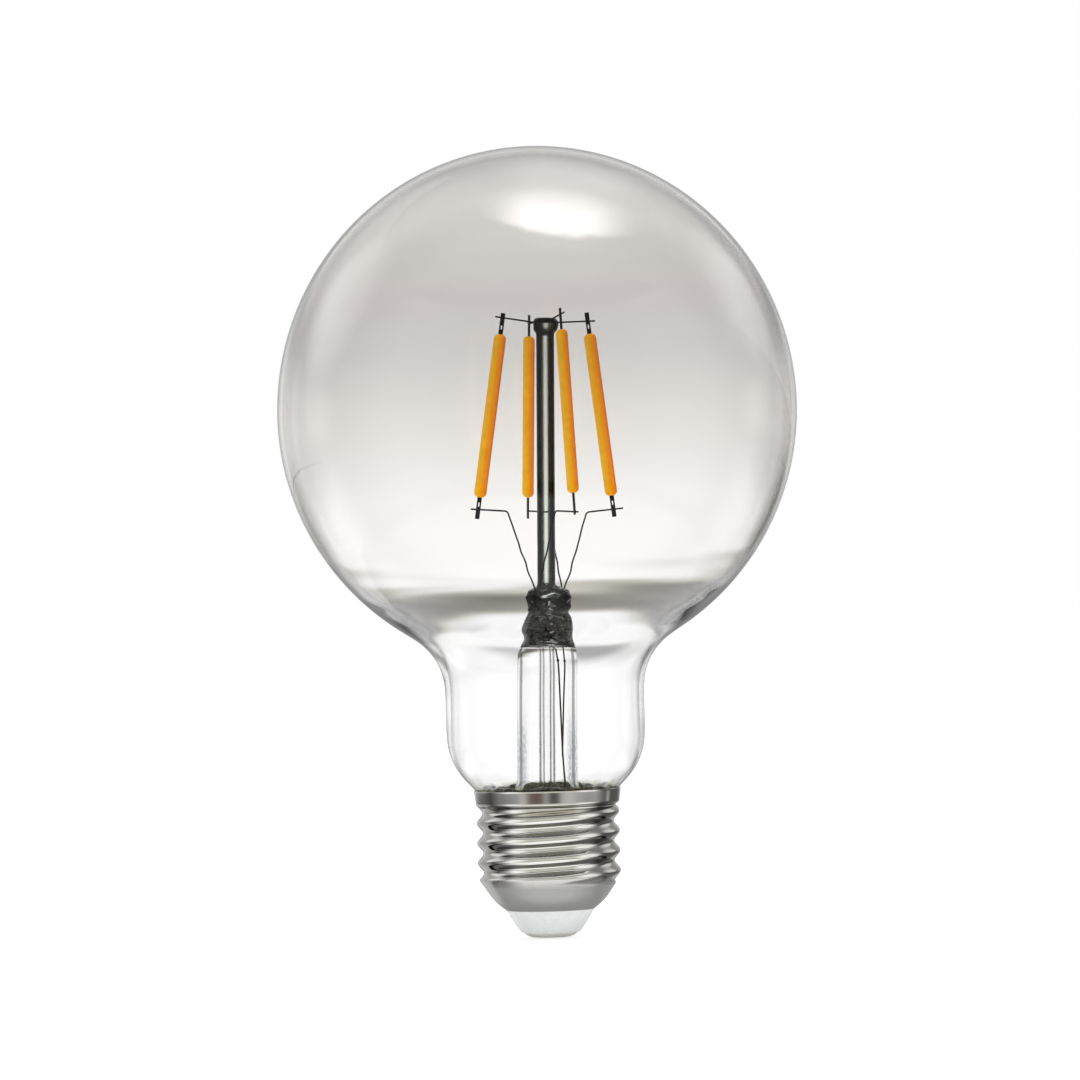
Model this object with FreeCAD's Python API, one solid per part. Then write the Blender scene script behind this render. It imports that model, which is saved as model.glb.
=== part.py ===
import FreeCAD, Part
import math
import os

from FreeCAD import Placement, Rotation, Vector

# Globe filament lamp: a 95 mm clear bulb on a 27 mm screw cap, with four filaments on a glass stem.
# Units are millimetres. Z runs up the lamp's axis from the centre contact, and the photograph looks along +Y.

# Glass bulb
overall_length = 144.5
globe_radius = 47.5
dome_rise = 0.8
glass_wall = 0.9
neck_radius = 18.15
neck_fillet = 11.2
shoulder_radius = 12.0
shoulder_rise = 10.0

# Screw cap, rolled from thin sheet
cap_height = 27.0
crest_radius = 13.1
rim_flare = 0.35
collar_height = 2.6
collar_shoulder = 0.5
thread_pitch = 3.629
thread_depth = 1.1
thread_crest_angle = 180.0
thread_crest_drop = 6.0
runout_bottom = 8.2
runout_height = 2.2
wave_reach = 150.0
wave_points = 11
wave_bite = 2.2
cutter_overrun = 1.0
sheet = 0.3
cone_top = 9.7
cone_bulge = 0.45
eyelet_radius = 8.0
eyelet_height = 5.0

# Insulator and centre contact
contact_radius = 5.0
contact_flat_radius = 3.0
contact_height = 0.85
shank_radius = 1.2
shank_length = 3.0
insulator_foot_radius = 5.3
insulator_bulge = 0.15
insulator_flange_radius = 9.2
insulator_top = 8.0
seat_gap = 0.05
cement_thickness = 0.4
cement_height = 2.3

# Glass stem, which leans a little to +X as it was sealed in
stem_lean = 1.25
seat_rise = 1.1
flare_wall = 0.9
flare_tube_radius = 5.55
flare_bend = 3.0
exhaust_radius = 1.45
exhaust_bore = 0.85
exhaust_clearance = 1.2
exhaust_socket = 1.2
blow_hole_radius = 0.7

# Pinch seal: height over its foot, how much narrower than the tube it is across X and across Y, and its shift to +X
pinch_foot = 50.4
pinch_sections = [
    (0.0, 0.00, 0.00, 0.00), (0.9, 0.00, 0.05, 0.00), (3.2, 0.25, 0.65, 0.10), (5.5, 0.70, 1.55, 0.30),
    (7.6, 1.45, 2.30, 0.45), (9.4, 1.65, 2.55, 0.50), (11.2, 1.35, 2.35, 0.50), (12.6, 1.75, 2.75, 0.50),
    (13.3, 2.60, 3.30, 0.50)]
cavity_rise = 3.2
pillar_radius = 1.65
pillar_length = 49.4
pillar_socket = 1.8
button_radius = 2.1
button_height = 2.8
button_round = 0.7

# Light-emitting filaments: a phosphor bar with a metal tab at each end
bar_length = 30.0
bar_width = 2.2
bar_thickness = 2.0
bar_round = 0.9
bar_drop = 3.1
bar_top_radius = 8.65
bar_tilt = 8.0
tab_length = 3.9
tab_width = 0.8
tab_thickness = 0.2
tab_grip = 1.2
tab_slot_length = 0.8
tab_slot_width = 0.3
tab_slot_place = 1.3

# Wires
wire_radius = 0.15
wire_bend = 0.8
entry_bend = 0.4
lead_bend = 1.5
lead_drop = 2.0
neutral_drop = 4.5
neutral_run = 3.0
lap_gap = 0.01
weld_gap = 0.03
lap_length = 1.6
lap_depth = 3.1
lap_angle = 120.0
lap_entry = 0.4
upper_wire_depth = 0.85
crossing_gap = 0.1
knot_radius = 0.28

# Driver inside the cap
board_width = 17.0
board_height = 12.2
board_thickness = 1.0
board_front = 1.5
hole_height = 10.8
leg_radius = 0.25
leg_reach = 0.7
capacitor_radius = 3.15
capacitor_length = 8.0
capacitor_round = 0.4
capacitor_groove = 0.35
capacitor_groove_place = 1.3
capacitor_place = (-3.5, 7.6)
capacitor_leg_pitch = 2.5
bridge_size = (4.7, 2.4, 3.6)
bridge_place = (-4.4, 3.3)
chip_size = (4.9, 1.5, 3.9)
chip_place = (1.9, 5.2)
lead_foot_width = 0.4
lead_foot_thickness = 0.2
lead_foot_reach = 0.9
resistor_radius = 1.3
resistor_length = 6.4
resistor_place = (6.2, 5.3)
resistor_leg_rise = 1.0
resistor_bend = 0.5
live_hole_height = 1.8
neutral_place = (7.4, 10.8)
neutral_angle = -38.0

# Each filament: azimuth, sideways sway, rise over the first, its welds' distances from the bar's ends, how far the
# wire ends pass its tabs, the side of the tabs that the wires lie on, the bend of its lower wire across X and Y and
# below the weld, and the lead-out wire that it laps with and on which side
filaments = {
    "filament_1": {"azimuth": 200.0, "sway": 0.0, "rise": 0.0, "top_weld": 3.1, "bottom_weld": 2.2, "side": -1,
                   "top_end": 0.9, "bottom_end": 0.9, "bend": (-7.04, -2.30, 0.3), "lead": "left", "lap": 1},
    "filament_2": {"azimuth": 110.0, "sway": -2.2, "rise": 0.0, "top_weld": 2.4, "bottom_weld": 2.5, "side": -1,
                   "top_end": 0.7, "bottom_end": 0.6, "bend": (0.40, 2.90, 0.2), "lead": "right", "lap": 1},
    "filament_3": {"azimuth": -70.0, "sway": 1.1, "rise": 0.7, "top_weld": 2.9, "bottom_weld": 3.4, "side": 1,
                   "top_end": 0.9, "bottom_end": 0.5, "bend": (1.70, -3.20, -0.2), "lead": "left", "lap": -1},
    "filament_4": {"azimuth": 20.0, "sway": 0.0, "rise": 0.25, "top_weld": 2.3, "bottom_weld": 2.5, "side": 1,
                   "top_end": 1.1, "bottom_end": 1.6, "bend": (7.43, 2.97, 0.5), "lead": "right", "lap": -1},
}

# Each lead-out wire: its place in the pinch, its route in the flare tube as X, Y and height over the pinch's foot,
# its way out of the flare as X, Y and height over the stem's seat, and its hole in the board across X
leads = {
    "left": {"place": (-1.75, -0.90), "route": [(1.60, -2.30, 3.6), (1.95, -2.50, 1.1)],
             "way_out": [(2.75, -1.10, 8.5), (3.15, -0.80, 2.5)], "hole": 1.4},
    "right": {"place": (3.10, 0.90), "route": [(3.25, 1.00, 3.6), (3.35, 0.95, 1.1)],
              "way_out": [(2.80, 0.50, 8.5), (3.30, 0.10, 2.5)], "hole": 3.8},
}

X_AXIS = Vector(1, 0, 0)
Y_AXIS = Vector(0, 1, 0)
Z_AXIS = Vector(0, 0, 1)
ORIGIN = Vector(0, 0, 0)

parts = {}


# Shared helpers

def on_profile(radius, height):
    """A point of a turned profile: its distance from the axis and its height."""
    return Vector(radius, 0, height)


def line(a, b):
    return Part.LineSegment(a, b).toShape()


def arc(a, middle, b):
    return Part.Arc(a, middle, b).toShape()


def arc_about(centre, radius, start_deg, end_deg):
    """An arc in the XZ plane round a centre, from one direction to another, in degrees from +X towards +Z."""
    points = []
    for angle in (start_deg, (start_deg + end_deg) / 2, end_deg):
        turn = math.radians(angle)
        points.append(centre + Vector(radius * math.cos(turn), 0, radius * math.sin(turn)))
    return arc(*points)


def polyline(points):
    return [line(a, b) for a, b in zip(points, points[1:])]


def revolve(edges):
    """Turns a closed profile in the XZ plane round the lamp's axis into a solid."""
    face = Part.Face(Part.Wire(Part.__sortEdges__(edges)))
    return face.revolve(ORIGIN, Z_AXIS, 360)


def cylinder(radius, bottom, top):
    return Part.makeCylinder(radius, top - bottom, Vector(0, 0, bottom))


def across_board(radius, x, z, start, end):
    """A round pin along +Y from one depth to another."""
    return Part.makeCylinder(radius, end - start, Vector(x, start, z), Y_AXIS)


def rounded_path(points, bends):
    """Straight runs through the points, joined by tangent arcs of the given radius at each inner point."""
    edges = []
    reached = points[0]
    for before, corner, after, bend in zip(points, points[1:], points[2:], bends):
        arrive = (corner - before).normalize()
        leave = (after - corner).normalize()
        half_turn = arrive.getAngle(leave) / 2
        setback = bend * math.tan(half_turn)
        start = corner - arrive * setback
        end = corner + leave * setback
        towards_centre = (leave - arrive).normalize()
        middle = corner + towards_centre * (bend / math.cos(half_turn) - bend)
        edges.append(line(reached, start))
        edges.append(arc(start, middle, end))
        reached = end
    edges.append(line(reached, points[-1]))
    return Part.Wire(edges)


def bent_wire(radius, points, bends):
    """A round wire swept along a rounded path."""
    path = rounded_path(points, bends)
    section = Part.Wire(Part.Circle(points[0], points[1] - points[0], radius).toShape())
    return path.makePipeShell([section], True, True)


# Glass bulb: dome, globe, fillet, neck, shoulder and the sleeve that is sealed inside the cap
seal_radius = crest_radius - sheet - cement_thickness
seal_bottom = cap_height - collar_height
thread_crest_height = cap_height - thread_crest_drop
globe_centre = overall_length - globe_radius - dome_rise
fillet_centre_radius = neck_radius + neck_fillet
fillet_centre_height = globe_centre - math.sqrt((globe_radius + neck_fillet) ** 2 - fillet_centre_radius ** 2)
shoulder_centre_radius = neck_radius - shoulder_radius
seat_ball = seal_radius - glass_wall
shoulder_top = cap_height + shoulder_rise
stem_seat_height = seal_bottom + seat_rise
lean = Placement(ORIGIN, Rotation(Y_AXIS, stem_lean), Vector(0, 0, stem_seat_height))


def leaned(thing):
    """The same point or solid once the stem's lean is given to it, about the middle of its seal."""
    if isinstance(thing, Vector):
        return lean.multVec(thing)
    return thing.transformed(lean.toMatrix())


def shoulder_height(radius, inset):
    """The height at which the shoulder, taken in by inset, has this radius."""
    across = radius - shoulder_centre_radius
    return shoulder_top - math.sqrt((shoulder_radius - inset) ** 2 - across ** 2)


def bulb_outline(inset):
    """The bulb's profile from its top down to its sleeve, taken in from the outer face by inset."""
    top = on_profile(0, overall_length - inset)
    globe = on_profile(0, globe_centre)
    fillet = on_profile(fillet_centre_radius, fillet_centre_height)
    towards_fillet = fillet - globe
    tangent_angle = math.degrees(math.atan2(towards_fillet.z, towards_fillet.x))
    sleeve = seal_radius - inset
    sleeve_top = shoulder_height(sleeve, inset)
    arc_angle = math.degrees(math.atan2(sleeve_top - shoulder_top, sleeve - shoulder_centre_radius))
    dome = Part.Ellipse(top, on_profile(globe_radius - inset, globe_centre), globe)
    neck = [on_profile(neck_radius - inset, fillet_centre_height), on_profile(neck_radius - inset, shoulder_top)]
    edges = [
        Part.ArcOfEllipse(dome, 0, math.pi / 2).toShape(),
        arc_about(globe, globe_radius - inset, 0, tangent_angle),
        arc_about(fillet, neck_fillet + inset, tangent_angle + 180, 180),
        line(*neck),
        arc_about(on_profile(shoulder_centre_radius, shoulder_top), shoulder_radius - inset, 0, arc_angle)]
    return edges, on_profile(sleeve, sleeve_top)


def on_seat_ball(height):
    """The sleeve's bore is a narrow band of a ball round the stem's seat, so that the leaning stem fits it."""
    return on_profile(math.sqrt(seat_ball ** 2 - (height - stem_seat_height) ** 2), height)


def bulb_body():
    """The bulb as if it were solid, for the cement to be cut back from."""
    edges, sleeve = bulb_outline(0)
    closing = polyline([sleeve, on_profile(seal_radius, seal_bottom), on_profile(0, seal_bottom),
                        on_profile(0, overall_length)])
    return revolve(edges + closing)


def glass_bulb():
    outer, outer_sleeve = bulb_outline(0)
    inner, inner_sleeve = bulb_outline(glass_wall)
    band_top = on_seat_ball(inner_sleeve.z)
    band_foot = on_seat_ball(seal_bottom)
    band_middle = on_seat_ball((band_top.z + band_foot.z) / 2)
    joins = [
        line(on_profile(0, overall_length), on_profile(0, overall_length - glass_wall)),
        line(inner_sleeve, band_top),
        arc(band_top, band_middle, band_foot),
        line(band_foot, on_profile(seal_radius, seal_bottom)),
        line(on_profile(seal_radius, seal_bottom), outer_sleeve)]
    return revolve(outer + inner + joins)


parts["glass_bulb"] = glass_bulb()


# Screw shell: a cone, a threaded tube and a plain collar, all of one sheet
root_radius = crest_radius - thread_depth
cone_chord = on_profile(root_radius - eyelet_radius, cone_top - eyelet_height)
cone_radius = (cone_chord.Length ** 2 / 4 + cone_bulge ** 2) / (2 * cone_bulge)
cone_outward = Vector(cone_chord.z, 0, -cone_chord.x).normalize()
cone_centre = on_profile(eyelet_radius, eyelet_height) + cone_chord * 0.5 - cone_outward * (cone_radius - cone_bulge)


def cone_height(radius, inset):
    """The height at which the cone's curve, taken in by inset, has this radius."""
    return cone_centre.z - math.sqrt((cone_radius - inset) ** 2 - (radius - cone_centre.x) ** 2)


def cone_point(height, inset):
    """The point of the cone's curve, taken in by inset, at this height."""
    return on_profile(cone_centre.x + math.sqrt((cone_radius - inset) ** 2 - (height - cone_centre.z) ** 2), height)


def cone_arc(start, end, inset):
    middle_height = (start.z + end.z) / 2
    return arc(start, cone_point(middle_height, inset), end)


def shell_core(inset, past):
    """The shell without its thread, filled to the axis; past carries it beyond both rims for a cut."""
    collar_bottom = cap_height - collar_height
    flare_slope = rim_flare / collar_height
    rim = cone_point(eyelet_height, inset)
    cone_end = on_profile(root_radius - inset, cone_height(root_radius - inset, inset))
    foot = on_profile(0, eyelet_height - past)
    top = cap_height + past
    outline = polyline([
        cone_end, on_profile(root_radius - inset, collar_bottom - collar_shoulder),
        on_profile(crest_radius - inset, collar_bottom),
        on_profile(crest_radius - inset + flare_slope * (top - collar_bottom), top), on_profile(0, top), foot])
    if past > 0:
        outline += polyline([foot, on_profile(rim.x, foot.z), rim])
    else:
        outline += polyline([foot, rim])
    return revolve(outline + [cone_arc(rim, cone_end, inset)])


def thread_ridge(inset):
    """The knuckle thread: a rounded wave swept up a helix, deep enough to bite into the core."""
    start_height = runout_bottom - thread_pitch
    turns_below = (thread_crest_height - start_height) / thread_pitch
    start_angle = thread_crest_angle - 360 * turns_below
    quarter_turn_past = thread_pitch / 4
    rise = cap_height - collar_height + quarter_turn_past - start_height
    helix = Part.Wire(Part.makeHelix(thread_pitch, rise, root_radius - inset))
    wave = []
    for step in range(wave_points):
        phase = math.radians(wave_reach * (2 * step / (wave_points - 1) - 1))
        lift = thread_depth * (0.5 + 0.5 * math.cos(phase))
        wave.append(on_profile(root_radius - inset - seat_gap + lift, thread_pitch * phase / math.tau))
    crown = Part.BSplineCurve()
    crown.interpolate(wave)
    core_side = root_radius - inset - wave_bite
    back = polyline([wave[-1], on_profile(core_side, wave[-1].z), on_profile(core_side, wave[0].z), wave[0]])
    section = Part.Wire(Part.__sortEdges__([crown.toShape()] + back))
    ridge = helix.makePipeShell([section], True, True)
    ridge.rotate(ORIGIN, Z_AXIS, start_angle)
    ridge.translate(Vector(0, 0, start_height))
    return ridge.common(runout_limit(inset))


def runout_limit(inset):
    """The room that the thread is rolled in: it fades into the cone at its foot and ends inside the collar."""
    collar_middle = cap_height - collar_height / 2
    foot = cone_point(runout_bottom, inset + seat_gap)
    full = on_profile(crest_radius - inset + thread_depth, runout_bottom + 2 * runout_height)
    limit = [foot, full, on_profile(full.x, collar_middle), on_profile(0, collar_middle), on_profile(0, foot.z), foot]
    return revolve(polyline(limit))


def screw_shell():
    outside = shell_core(0, 0).fuse(thread_ridge(0))
    inside = shell_core(sheet, cutter_overrun).fuse(thread_ridge(sheet))
    return outside.cut(inside)


parts["screw_shell"] = screw_shell()


# Cement between the sleeve and the collar
def base_cement():
    flare_slope = rim_flare / collar_height
    face = crest_radius - sheet - seat_gap
    top = seal_bottom + cement_height
    ring = revolve(polyline([
        on_profile(seat_ball, seal_bottom), on_profile(face, seal_bottom),
        on_profile(face + flare_slope * cement_height, top), on_profile(seat_ball, top),
        on_profile(seat_ball, seal_bottom)]))
    return ring.cut(bulb_body())


parts["base_cement"] = base_cement()


# Insulator: it fills the cone, hooks behind its edge and carries the contact
def insulator():
    neck = cone_point(eyelet_height, sheet + seat_gap)
    hook = cone_point(eyelet_height, sheet).x - seat_gap
    flange = insulator_flange_radius
    behind = on_profile(flange, cone_height(flange, sheet + seat_gap))
    foot = on_profile(insulator_foot_radius, contact_height)
    edge = on_profile(eyelet_radius, eyelet_height)
    side = (edge - foot)
    bulge = Vector(side.z, 0, -side.x).normalize() * insulator_bulge
    bore = shank_radius + seat_gap
    start = on_profile(hook, cone_height(hook, sheet + seat_gap))
    edges = [arc(foot, (foot + edge) * 0.5 + bulge, edge), cone_arc(start, behind, sheet + seat_gap)]
    edges += polyline([edge, on_profile(hook, eyelet_height), start])
    edges += polyline([behind, on_profile(flange, insulator_top), on_profile(bore, insulator_top),
                       on_profile(bore, contact_height), foot])
    return revolve(edges)


parts["insulator"] = insulator()


# Centre contact: a shallow disc with a flat face, and the shank that runs up into the insulator
def centre_contact():
    across = contact_radius - contact_flat_radius
    sweep = (across ** 2 + contact_height ** 2) / (2 * contact_height)
    centre = on_profile(contact_flat_radius, sweep)
    end_angle = math.degrees(math.atan2(contact_height - sweep, across))
    edge = on_profile(contact_radius, contact_height)
    flat = on_profile(contact_flat_radius, 0)
    shank_top = contact_height + shank_length
    edges = [arc_about(centre, sweep, -90, end_angle)]
    edges += polyline([edge, on_profile(shank_radius, contact_height), on_profile(shank_radius, shank_top),
                       on_profile(0, shank_top), ORIGIN, flat])
    return revolve(edges)


parts["centre_contact"] = centre_contact()


# Stem: the flare that is sealed to the sleeve, its tube, and the pinch with the cavity under it
pinch_top = pinch_foot + pinch_sections[-1][0]
cavity_top = pinch_foot + cavity_rise
exhaust_top = cavity_top + exhaust_socket
pillar_foot = pinch_top - pillar_socket
button_top = pinch_top + pillar_length
lap_foot = pinch_top - lap_depth
tube_bore = flare_tube_radius - flare_wall


def flare_tube():
    half_wall = flare_wall / 2
    rim_top = on_seat_ball(stem_seat_height + half_wall)
    rim_foot = on_seat_ball(stem_seat_height - half_wall)
    bend = on_profile(flare_tube_radius + flare_bend, rim_top.z + flare_bend)
    edges = [
        arc_about(bend, flare_bend, 180, 270),
        arc(rim_top, on_seat_ball(stem_seat_height), rim_foot),
        arc_about(bend, flare_bend + flare_wall, 270, 180),
        line(on_profile(bend.x, rim_top.z), rim_top),
        line(rim_foot, on_profile(bend.x, rim_foot.z))]
    edges += polyline([on_profile(tube_bore, bend.z), on_profile(tube_bore, pinch_foot),
                       on_profile(flare_tube_radius, pinch_foot), on_profile(flare_tube_radius, bend.z)])
    return revolve(edges)


def pinch():
    """The pressed end of the tube: ellipses that flatten, narrow to a waist and swell into the head."""
    rings = []
    for height, less_x, less_y, shift in pinch_sections:
        centre = Vector(shift, 0, pinch_foot + height)
        half_x = flare_tube_radius - less_x
        half_y = flare_tube_radius - less_y
        rings.append(Part.Wire(Part.Ellipse(centre, half_x, half_y).toShape()))
    body = Part.makeLoft(rings, True, False)
    dome_start = pinch_foot + cavity_rise / 2
    slant = on_profile(tube_bore * math.cos(math.pi / 4), dome_start + cavity_rise / 2 * math.sin(math.pi / 4))
    roof = arc(on_profile(tube_bore, dome_start), slant, on_profile(0, cavity_top))
    cavity = revolve([roof] + polyline([on_profile(0, cavity_top), on_profile(0, pinch_foot),
                                        on_profile(tube_bore, pinch_foot), on_profile(tube_bore, dome_start)]))
    return body.cut(cavity)


def exhaust_tube():
    tip = insulator_top + board_height + exhaust_clearance
    outer_round = on_profile(0, tip + exhaust_radius)
    edges = [arc_about(outer_round, exhaust_radius, -90, 0), arc_about(outer_round, exhaust_bore, -90, 0)]
    edges += polyline([on_profile(exhaust_radius, outer_round.z), on_profile(exhaust_radius, exhaust_top),
                       on_profile(exhaust_bore, exhaust_top), on_profile(exhaust_bore, outer_round.z)])
    edges += [line(on_profile(0, tip), on_profile(0, outer_round.z - exhaust_bore))]
    return revolve(edges)


def stem_pillar():
    """The glass rod that stands in the pinch, with its end melted into a button."""
    foot = button_top - button_height
    side = button_radius - button_round
    edges = [arc_about(on_profile(side, foot + button_round), button_round, -90, 0),
             arc_about(on_profile(side, button_top - button_round), button_round, 0, 90),
             line(on_profile(button_radius, foot + button_round), on_profile(button_radius, button_top - button_round))]
    edges += polyline([on_profile(side, button_top), on_profile(0, button_top), on_profile(0, foot),
                       on_profile(side, foot)])
    rod = cylinder(pillar_radius, pillar_foot, button_top - button_height / 2)
    return rod.fuse(revolve(edges))


def stem_tube():
    glass = flare_tube().fuse(pinch())
    glass = glass.cut(cylinder(exhaust_radius, pinch_foot, exhaust_top))
    glass = glass.cut(cylinder(pillar_radius, pillar_foot, button_top))
    blow_up = cylinder(exhaust_bore, exhaust_top, exhaust_top + 2 * blow_hole_radius)
    blow_out = across_board(blow_hole_radius, 0, exhaust_top + blow_hole_radius, 0, 2 * flare_tube_radius)
    return glass.cut(blow_up).cut(blow_out)


# Filaments: each bar's own frame has its origin at the middle of its top, Z up the bar and X away from the stem
def filament_frame(filament):
    about_axis = Placement(ORIGIN, Rotation(Z_AXIS, filament["azimuth"]))
    top = Vector(bar_top_radius, 0, button_top - bar_drop + filament["rise"])
    hang = Rotation(Y_AXIS, -bar_tilt).multiply(Rotation(X_AXIS, filament["sway"]))
    return about_axis.multiply(Placement(top, hang))


def placed(solid, filament):
    frame = lean.multiply(filament_frame(filament))
    return solid.transformed(frame.toMatrix())


def tab(start, end, slot_height):
    """A flat strip between two heights, with a round-ended slot through it."""
    strip = Part.makeBox(tab_width, tab_thickness, end - start, Vector(-tab_width / 2, -tab_thickness / 2, start))
    slot_side = tab_slot_width / 2
    straight = tab_slot_length / 2 - slot_side
    slot = Part.makeBox(tab_slot_width, tab_thickness, 2 * straight,
                        Vector(-slot_side, -tab_thickness / 2, slot_height - straight))
    for end_height in (slot_height - straight, slot_height + straight):
        slot = slot.fuse(Part.makeCylinder(slot_side, tab_thickness, Vector(0, -tab_thickness / 2, end_height), Y_AXIS))
    return strip.cut(slot)


def filament_bar():
    bar = Part.makeBox(bar_width, bar_thickness, bar_length, Vector(-bar_width / 2, -bar_thickness / 2, -bar_length))
    return bar.makeFillet(bar_round, bar.Edges)


top_tab = tab(-tab_grip, tab_length, tab_slot_place)
bottom_tab = tab(-bar_length - tab_length, -bar_length + tab_grip, -bar_length - tab_slot_place)
gripping_bar = filament_bar().cut(top_tab).cut(bottom_tab)
for name, filament in filaments.items():
    parts[name] = placed(gripping_bar, filament)
    parts[name + "_top_tab"] = placed(top_tab, filament)
    parts[name + "_bottom_tab"] = placed(bottom_tab, filament)


def weld(filament, height):
    """Where a wire's centre crosses a tab, beside the tab's flat face, before the stem's lean."""
    beside = filament["side"] * (tab_thickness / 2 + wire_radius + weld_gap)
    return filament_frame(filament).multVec(Vector(0, beside, height))


def past_tab(inner_point, weld_point, over):
    """The wire's free end: it runs on beyond the tab by over."""
    outward = (weld_point - inner_point).normalize()
    return weld_point + outward * (tab_width / 2 + over)


# Upper wires: each joins two filaments that face each other, through the button
def button_entry(filament, height):
    beside = filament["side"] * (tab_thickness / 2 + wire_radius + weld_gap)
    turn = Rotation(Z_AXIS, filament["azimuth"])
    return turn.multVec(Vector(button_radius, beside, height))


def upper_wire(first, second, height):
    ends = []
    for filament in (first, second):
        entry = button_entry(filament, height)
        joint = weld(filament, filament["top_weld"])
        ends.append([past_tab(entry, joint, filament["top_end"]), entry])
    route = ends[0] + ends[1][::-1]
    return bent_wire(wire_radius, [leaned(point) for point in route], [wire_bend] * 2)


upper_height = button_top - upper_wire_depth
crossing_height = upper_height + 2 * wire_radius + crossing_gap
parts["upper_wire_1_to_4"] = upper_wire(filaments["filament_1"], filaments["filament_4"], upper_height)
parts["upper_wire_2_to_3"] = upper_wire(filaments["filament_2"], filaments["filament_3"], crossing_height)


# Lower wires: from each filament's lower tab to the pinch, where they lap with a lead-out wire
def lap_place(lead, side):
    reach = side * (2 * wire_radius + lap_gap)
    turn = math.radians(lap_angle)
    return Vector(lead["place"][0] + reach * math.cos(turn), lead["place"][1] + reach * math.sin(turn), lap_foot)


def lower_wire(filament):
    joint = weld(filament, -bar_length - filament["bottom_weld"])
    across, along, drop = filament["bend"]
    bend = Vector(across, along, joint.z - drop)
    foot = lap_place(leads[filament["lead"]], filament["lap"])
    entry = foot + Z_AXIS * (lap_length + lap_entry)
    route = [past_tab(bend, joint, filament["bottom_end"]), bend, entry, foot]
    return bent_wire(wire_radius, [leaned(point) for point in route], [wire_bend, entry_bend])


for number, filament in enumerate(filaments.values(), start=1):
    parts["lower_wire_%d" % number] = lower_wire(filament)

# Lead-out wires: from the laps through the flare tube to the driver board, with the knot of their weld
board_foot = insulator_top
board_back = board_front + board_thickness
pin_end = board_back + leg_reach


def lead_wire(lead):
    x, y = lead["place"]
    route = [leaned(Vector(x, y, lap_foot + lap_length)), leaned(Vector(x, y, lap_foot - lap_entry))]
    route += [leaned(Vector(*point) + Z_AXIS * pinch_foot) for point in lead["route"]]
    route += [leaned(Vector(*point) + Z_AXIS * stem_seat_height) for point in lead["way_out"]]
    drop_depth = board_front - lead_drop
    hole = Vector(lead["hole"], drop_depth, board_foot + hole_height)
    route += [hole, Vector(hole.x, pin_end, hole.z)]
    bends = [entry_bend] * 2 + [lead_bend] * 3 + [lead_bend / 2]
    knot = Part.makeSphere(knot_radius, route[3])
    return bent_wire(wire_radius, route, bends).fuse(knot)


for side, lead in leads.items():
    parts["lead_wire_" + side] = lead_wire(lead)


# Glass that is sealed round the wires
def sealed_round(glass, wires):
    for wire in wires:
        glass = glass.cut(wire)
    return glass


parts["stem_pillar"] = sealed_round(leaned(stem_pillar()), [parts["upper_wire_1_to_4"], parts["upper_wire_2_to_3"]])
parts["exhaust_tube"] = leaned(exhaust_tube())
pinched_wires = [parts["lower_wire_%d" % number] for number in range(1, 5)]
pinched_wires += [parts["lead_wire_" + side] for side in leads]
parts["stem_tube"] = sealed_round(leaned(stem_tube()), pinched_wires)


# Driver parts, which stand on a board that rests on the insulator
def on_board(place):
    return place[0], board_foot + place[1]


def capacitor():
    x, z = on_board(capacitor_place)
    can = across_board(capacitor_radius, x, z, board_front - capacitor_length, board_front)
    can = can.makeFillet(capacitor_round, [edge for edge in can.Edges if edge.Closed])
    groove_centre = Vector(x, board_front - capacitor_groove_place, z)
    groove = Part.makeTorus(capacitor_radius, capacitor_groove, groove_centre, Y_AXIS)
    can = can.cut(groove)
    for side in (-1, 1):
        leg_x = x + side * capacitor_leg_pitch / 2
        can = can.fuse(across_board(leg_radius, leg_x, z, board_front - capacitor_round, pin_end))
    return can


def resistor():
    x, z = on_board(resistor_place)
    centre_y = board_front - resistor_radius
    half = resistor_length / 2
    body = Part.makeCylinder(resistor_radius, resistor_length, Vector(x, centre_y, z - half))
    body = body.makeFillet(resistor_bend, [edge for edge in body.Edges if edge.Closed])
    for side in (-1, 1):
        leg_z = z + side * (half + resistor_leg_rise)
        route = [Vector(x, centre_y, z), Vector(x, centre_y, leg_z), Vector(x, pin_end, leg_z)]
        body = body.fuse(bent_wire(leg_radius, route, [resistor_bend]))
    return body


def surface_package(size, place, legs):
    """A moulded block on the back of the board, with gull-wing legs along its top and bottom."""
    x, z = on_board(place)
    wide, deep, tall = size
    package = Part.makeBox(wide, deep, tall, Vector(x - wide / 2, board_back, z - tall / 2))
    package = package.makeChamfer(lead_foot_thickness, package.Edges)
    stand = board_back + deep / 2
    for side in (-1, 1):
        for index in range(legs):
            leg_x = x - wide / 2 + wide * (index + 0.5) / legs
            edge_z = z + side * tall / 2
            out = side * lead_foot_reach
            profile = [
                (0, stand), (out / 2, stand), (out / 2, board_back + lead_foot_thickness),
                (out, board_back + lead_foot_thickness), (out, board_back),
                (out / 2 - side * lead_foot_thickness, board_back),
                (out / 2 - side * lead_foot_thickness, stand - lead_foot_thickness), (0, stand - lead_foot_thickness),
                (0, stand)]
            start_x = leg_x - lead_foot_width / 2
            outline = Part.makePolygon([Vector(start_x, depth, edge_z + reach) for reach, depth in profile])
            package = package.fuse(Part.Face(outline).extrude(Vector(lead_foot_width, 0, 0)))
    return package


parts["smoothing_capacitor"] = capacitor()
parts["fusible_resistor"] = resistor()
parts["bridge_rectifier"] = surface_package(bridge_size, bridge_place, 2)
parts["driver_chip"] = surface_package(chip_size, chip_place, 4)


# Supply wires: the live wire stands on the contact's shank, and the neutral wire ends against the shell's crest
def live_wire():
    hole_z = board_foot + live_hole_height
    route = [Vector(0, pin_end, hole_z), Vector(0, 0, hole_z), Vector(0, 0, contact_height + shank_length)]
    return bent_wire(wire_radius, route, [wire_bend])


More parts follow.
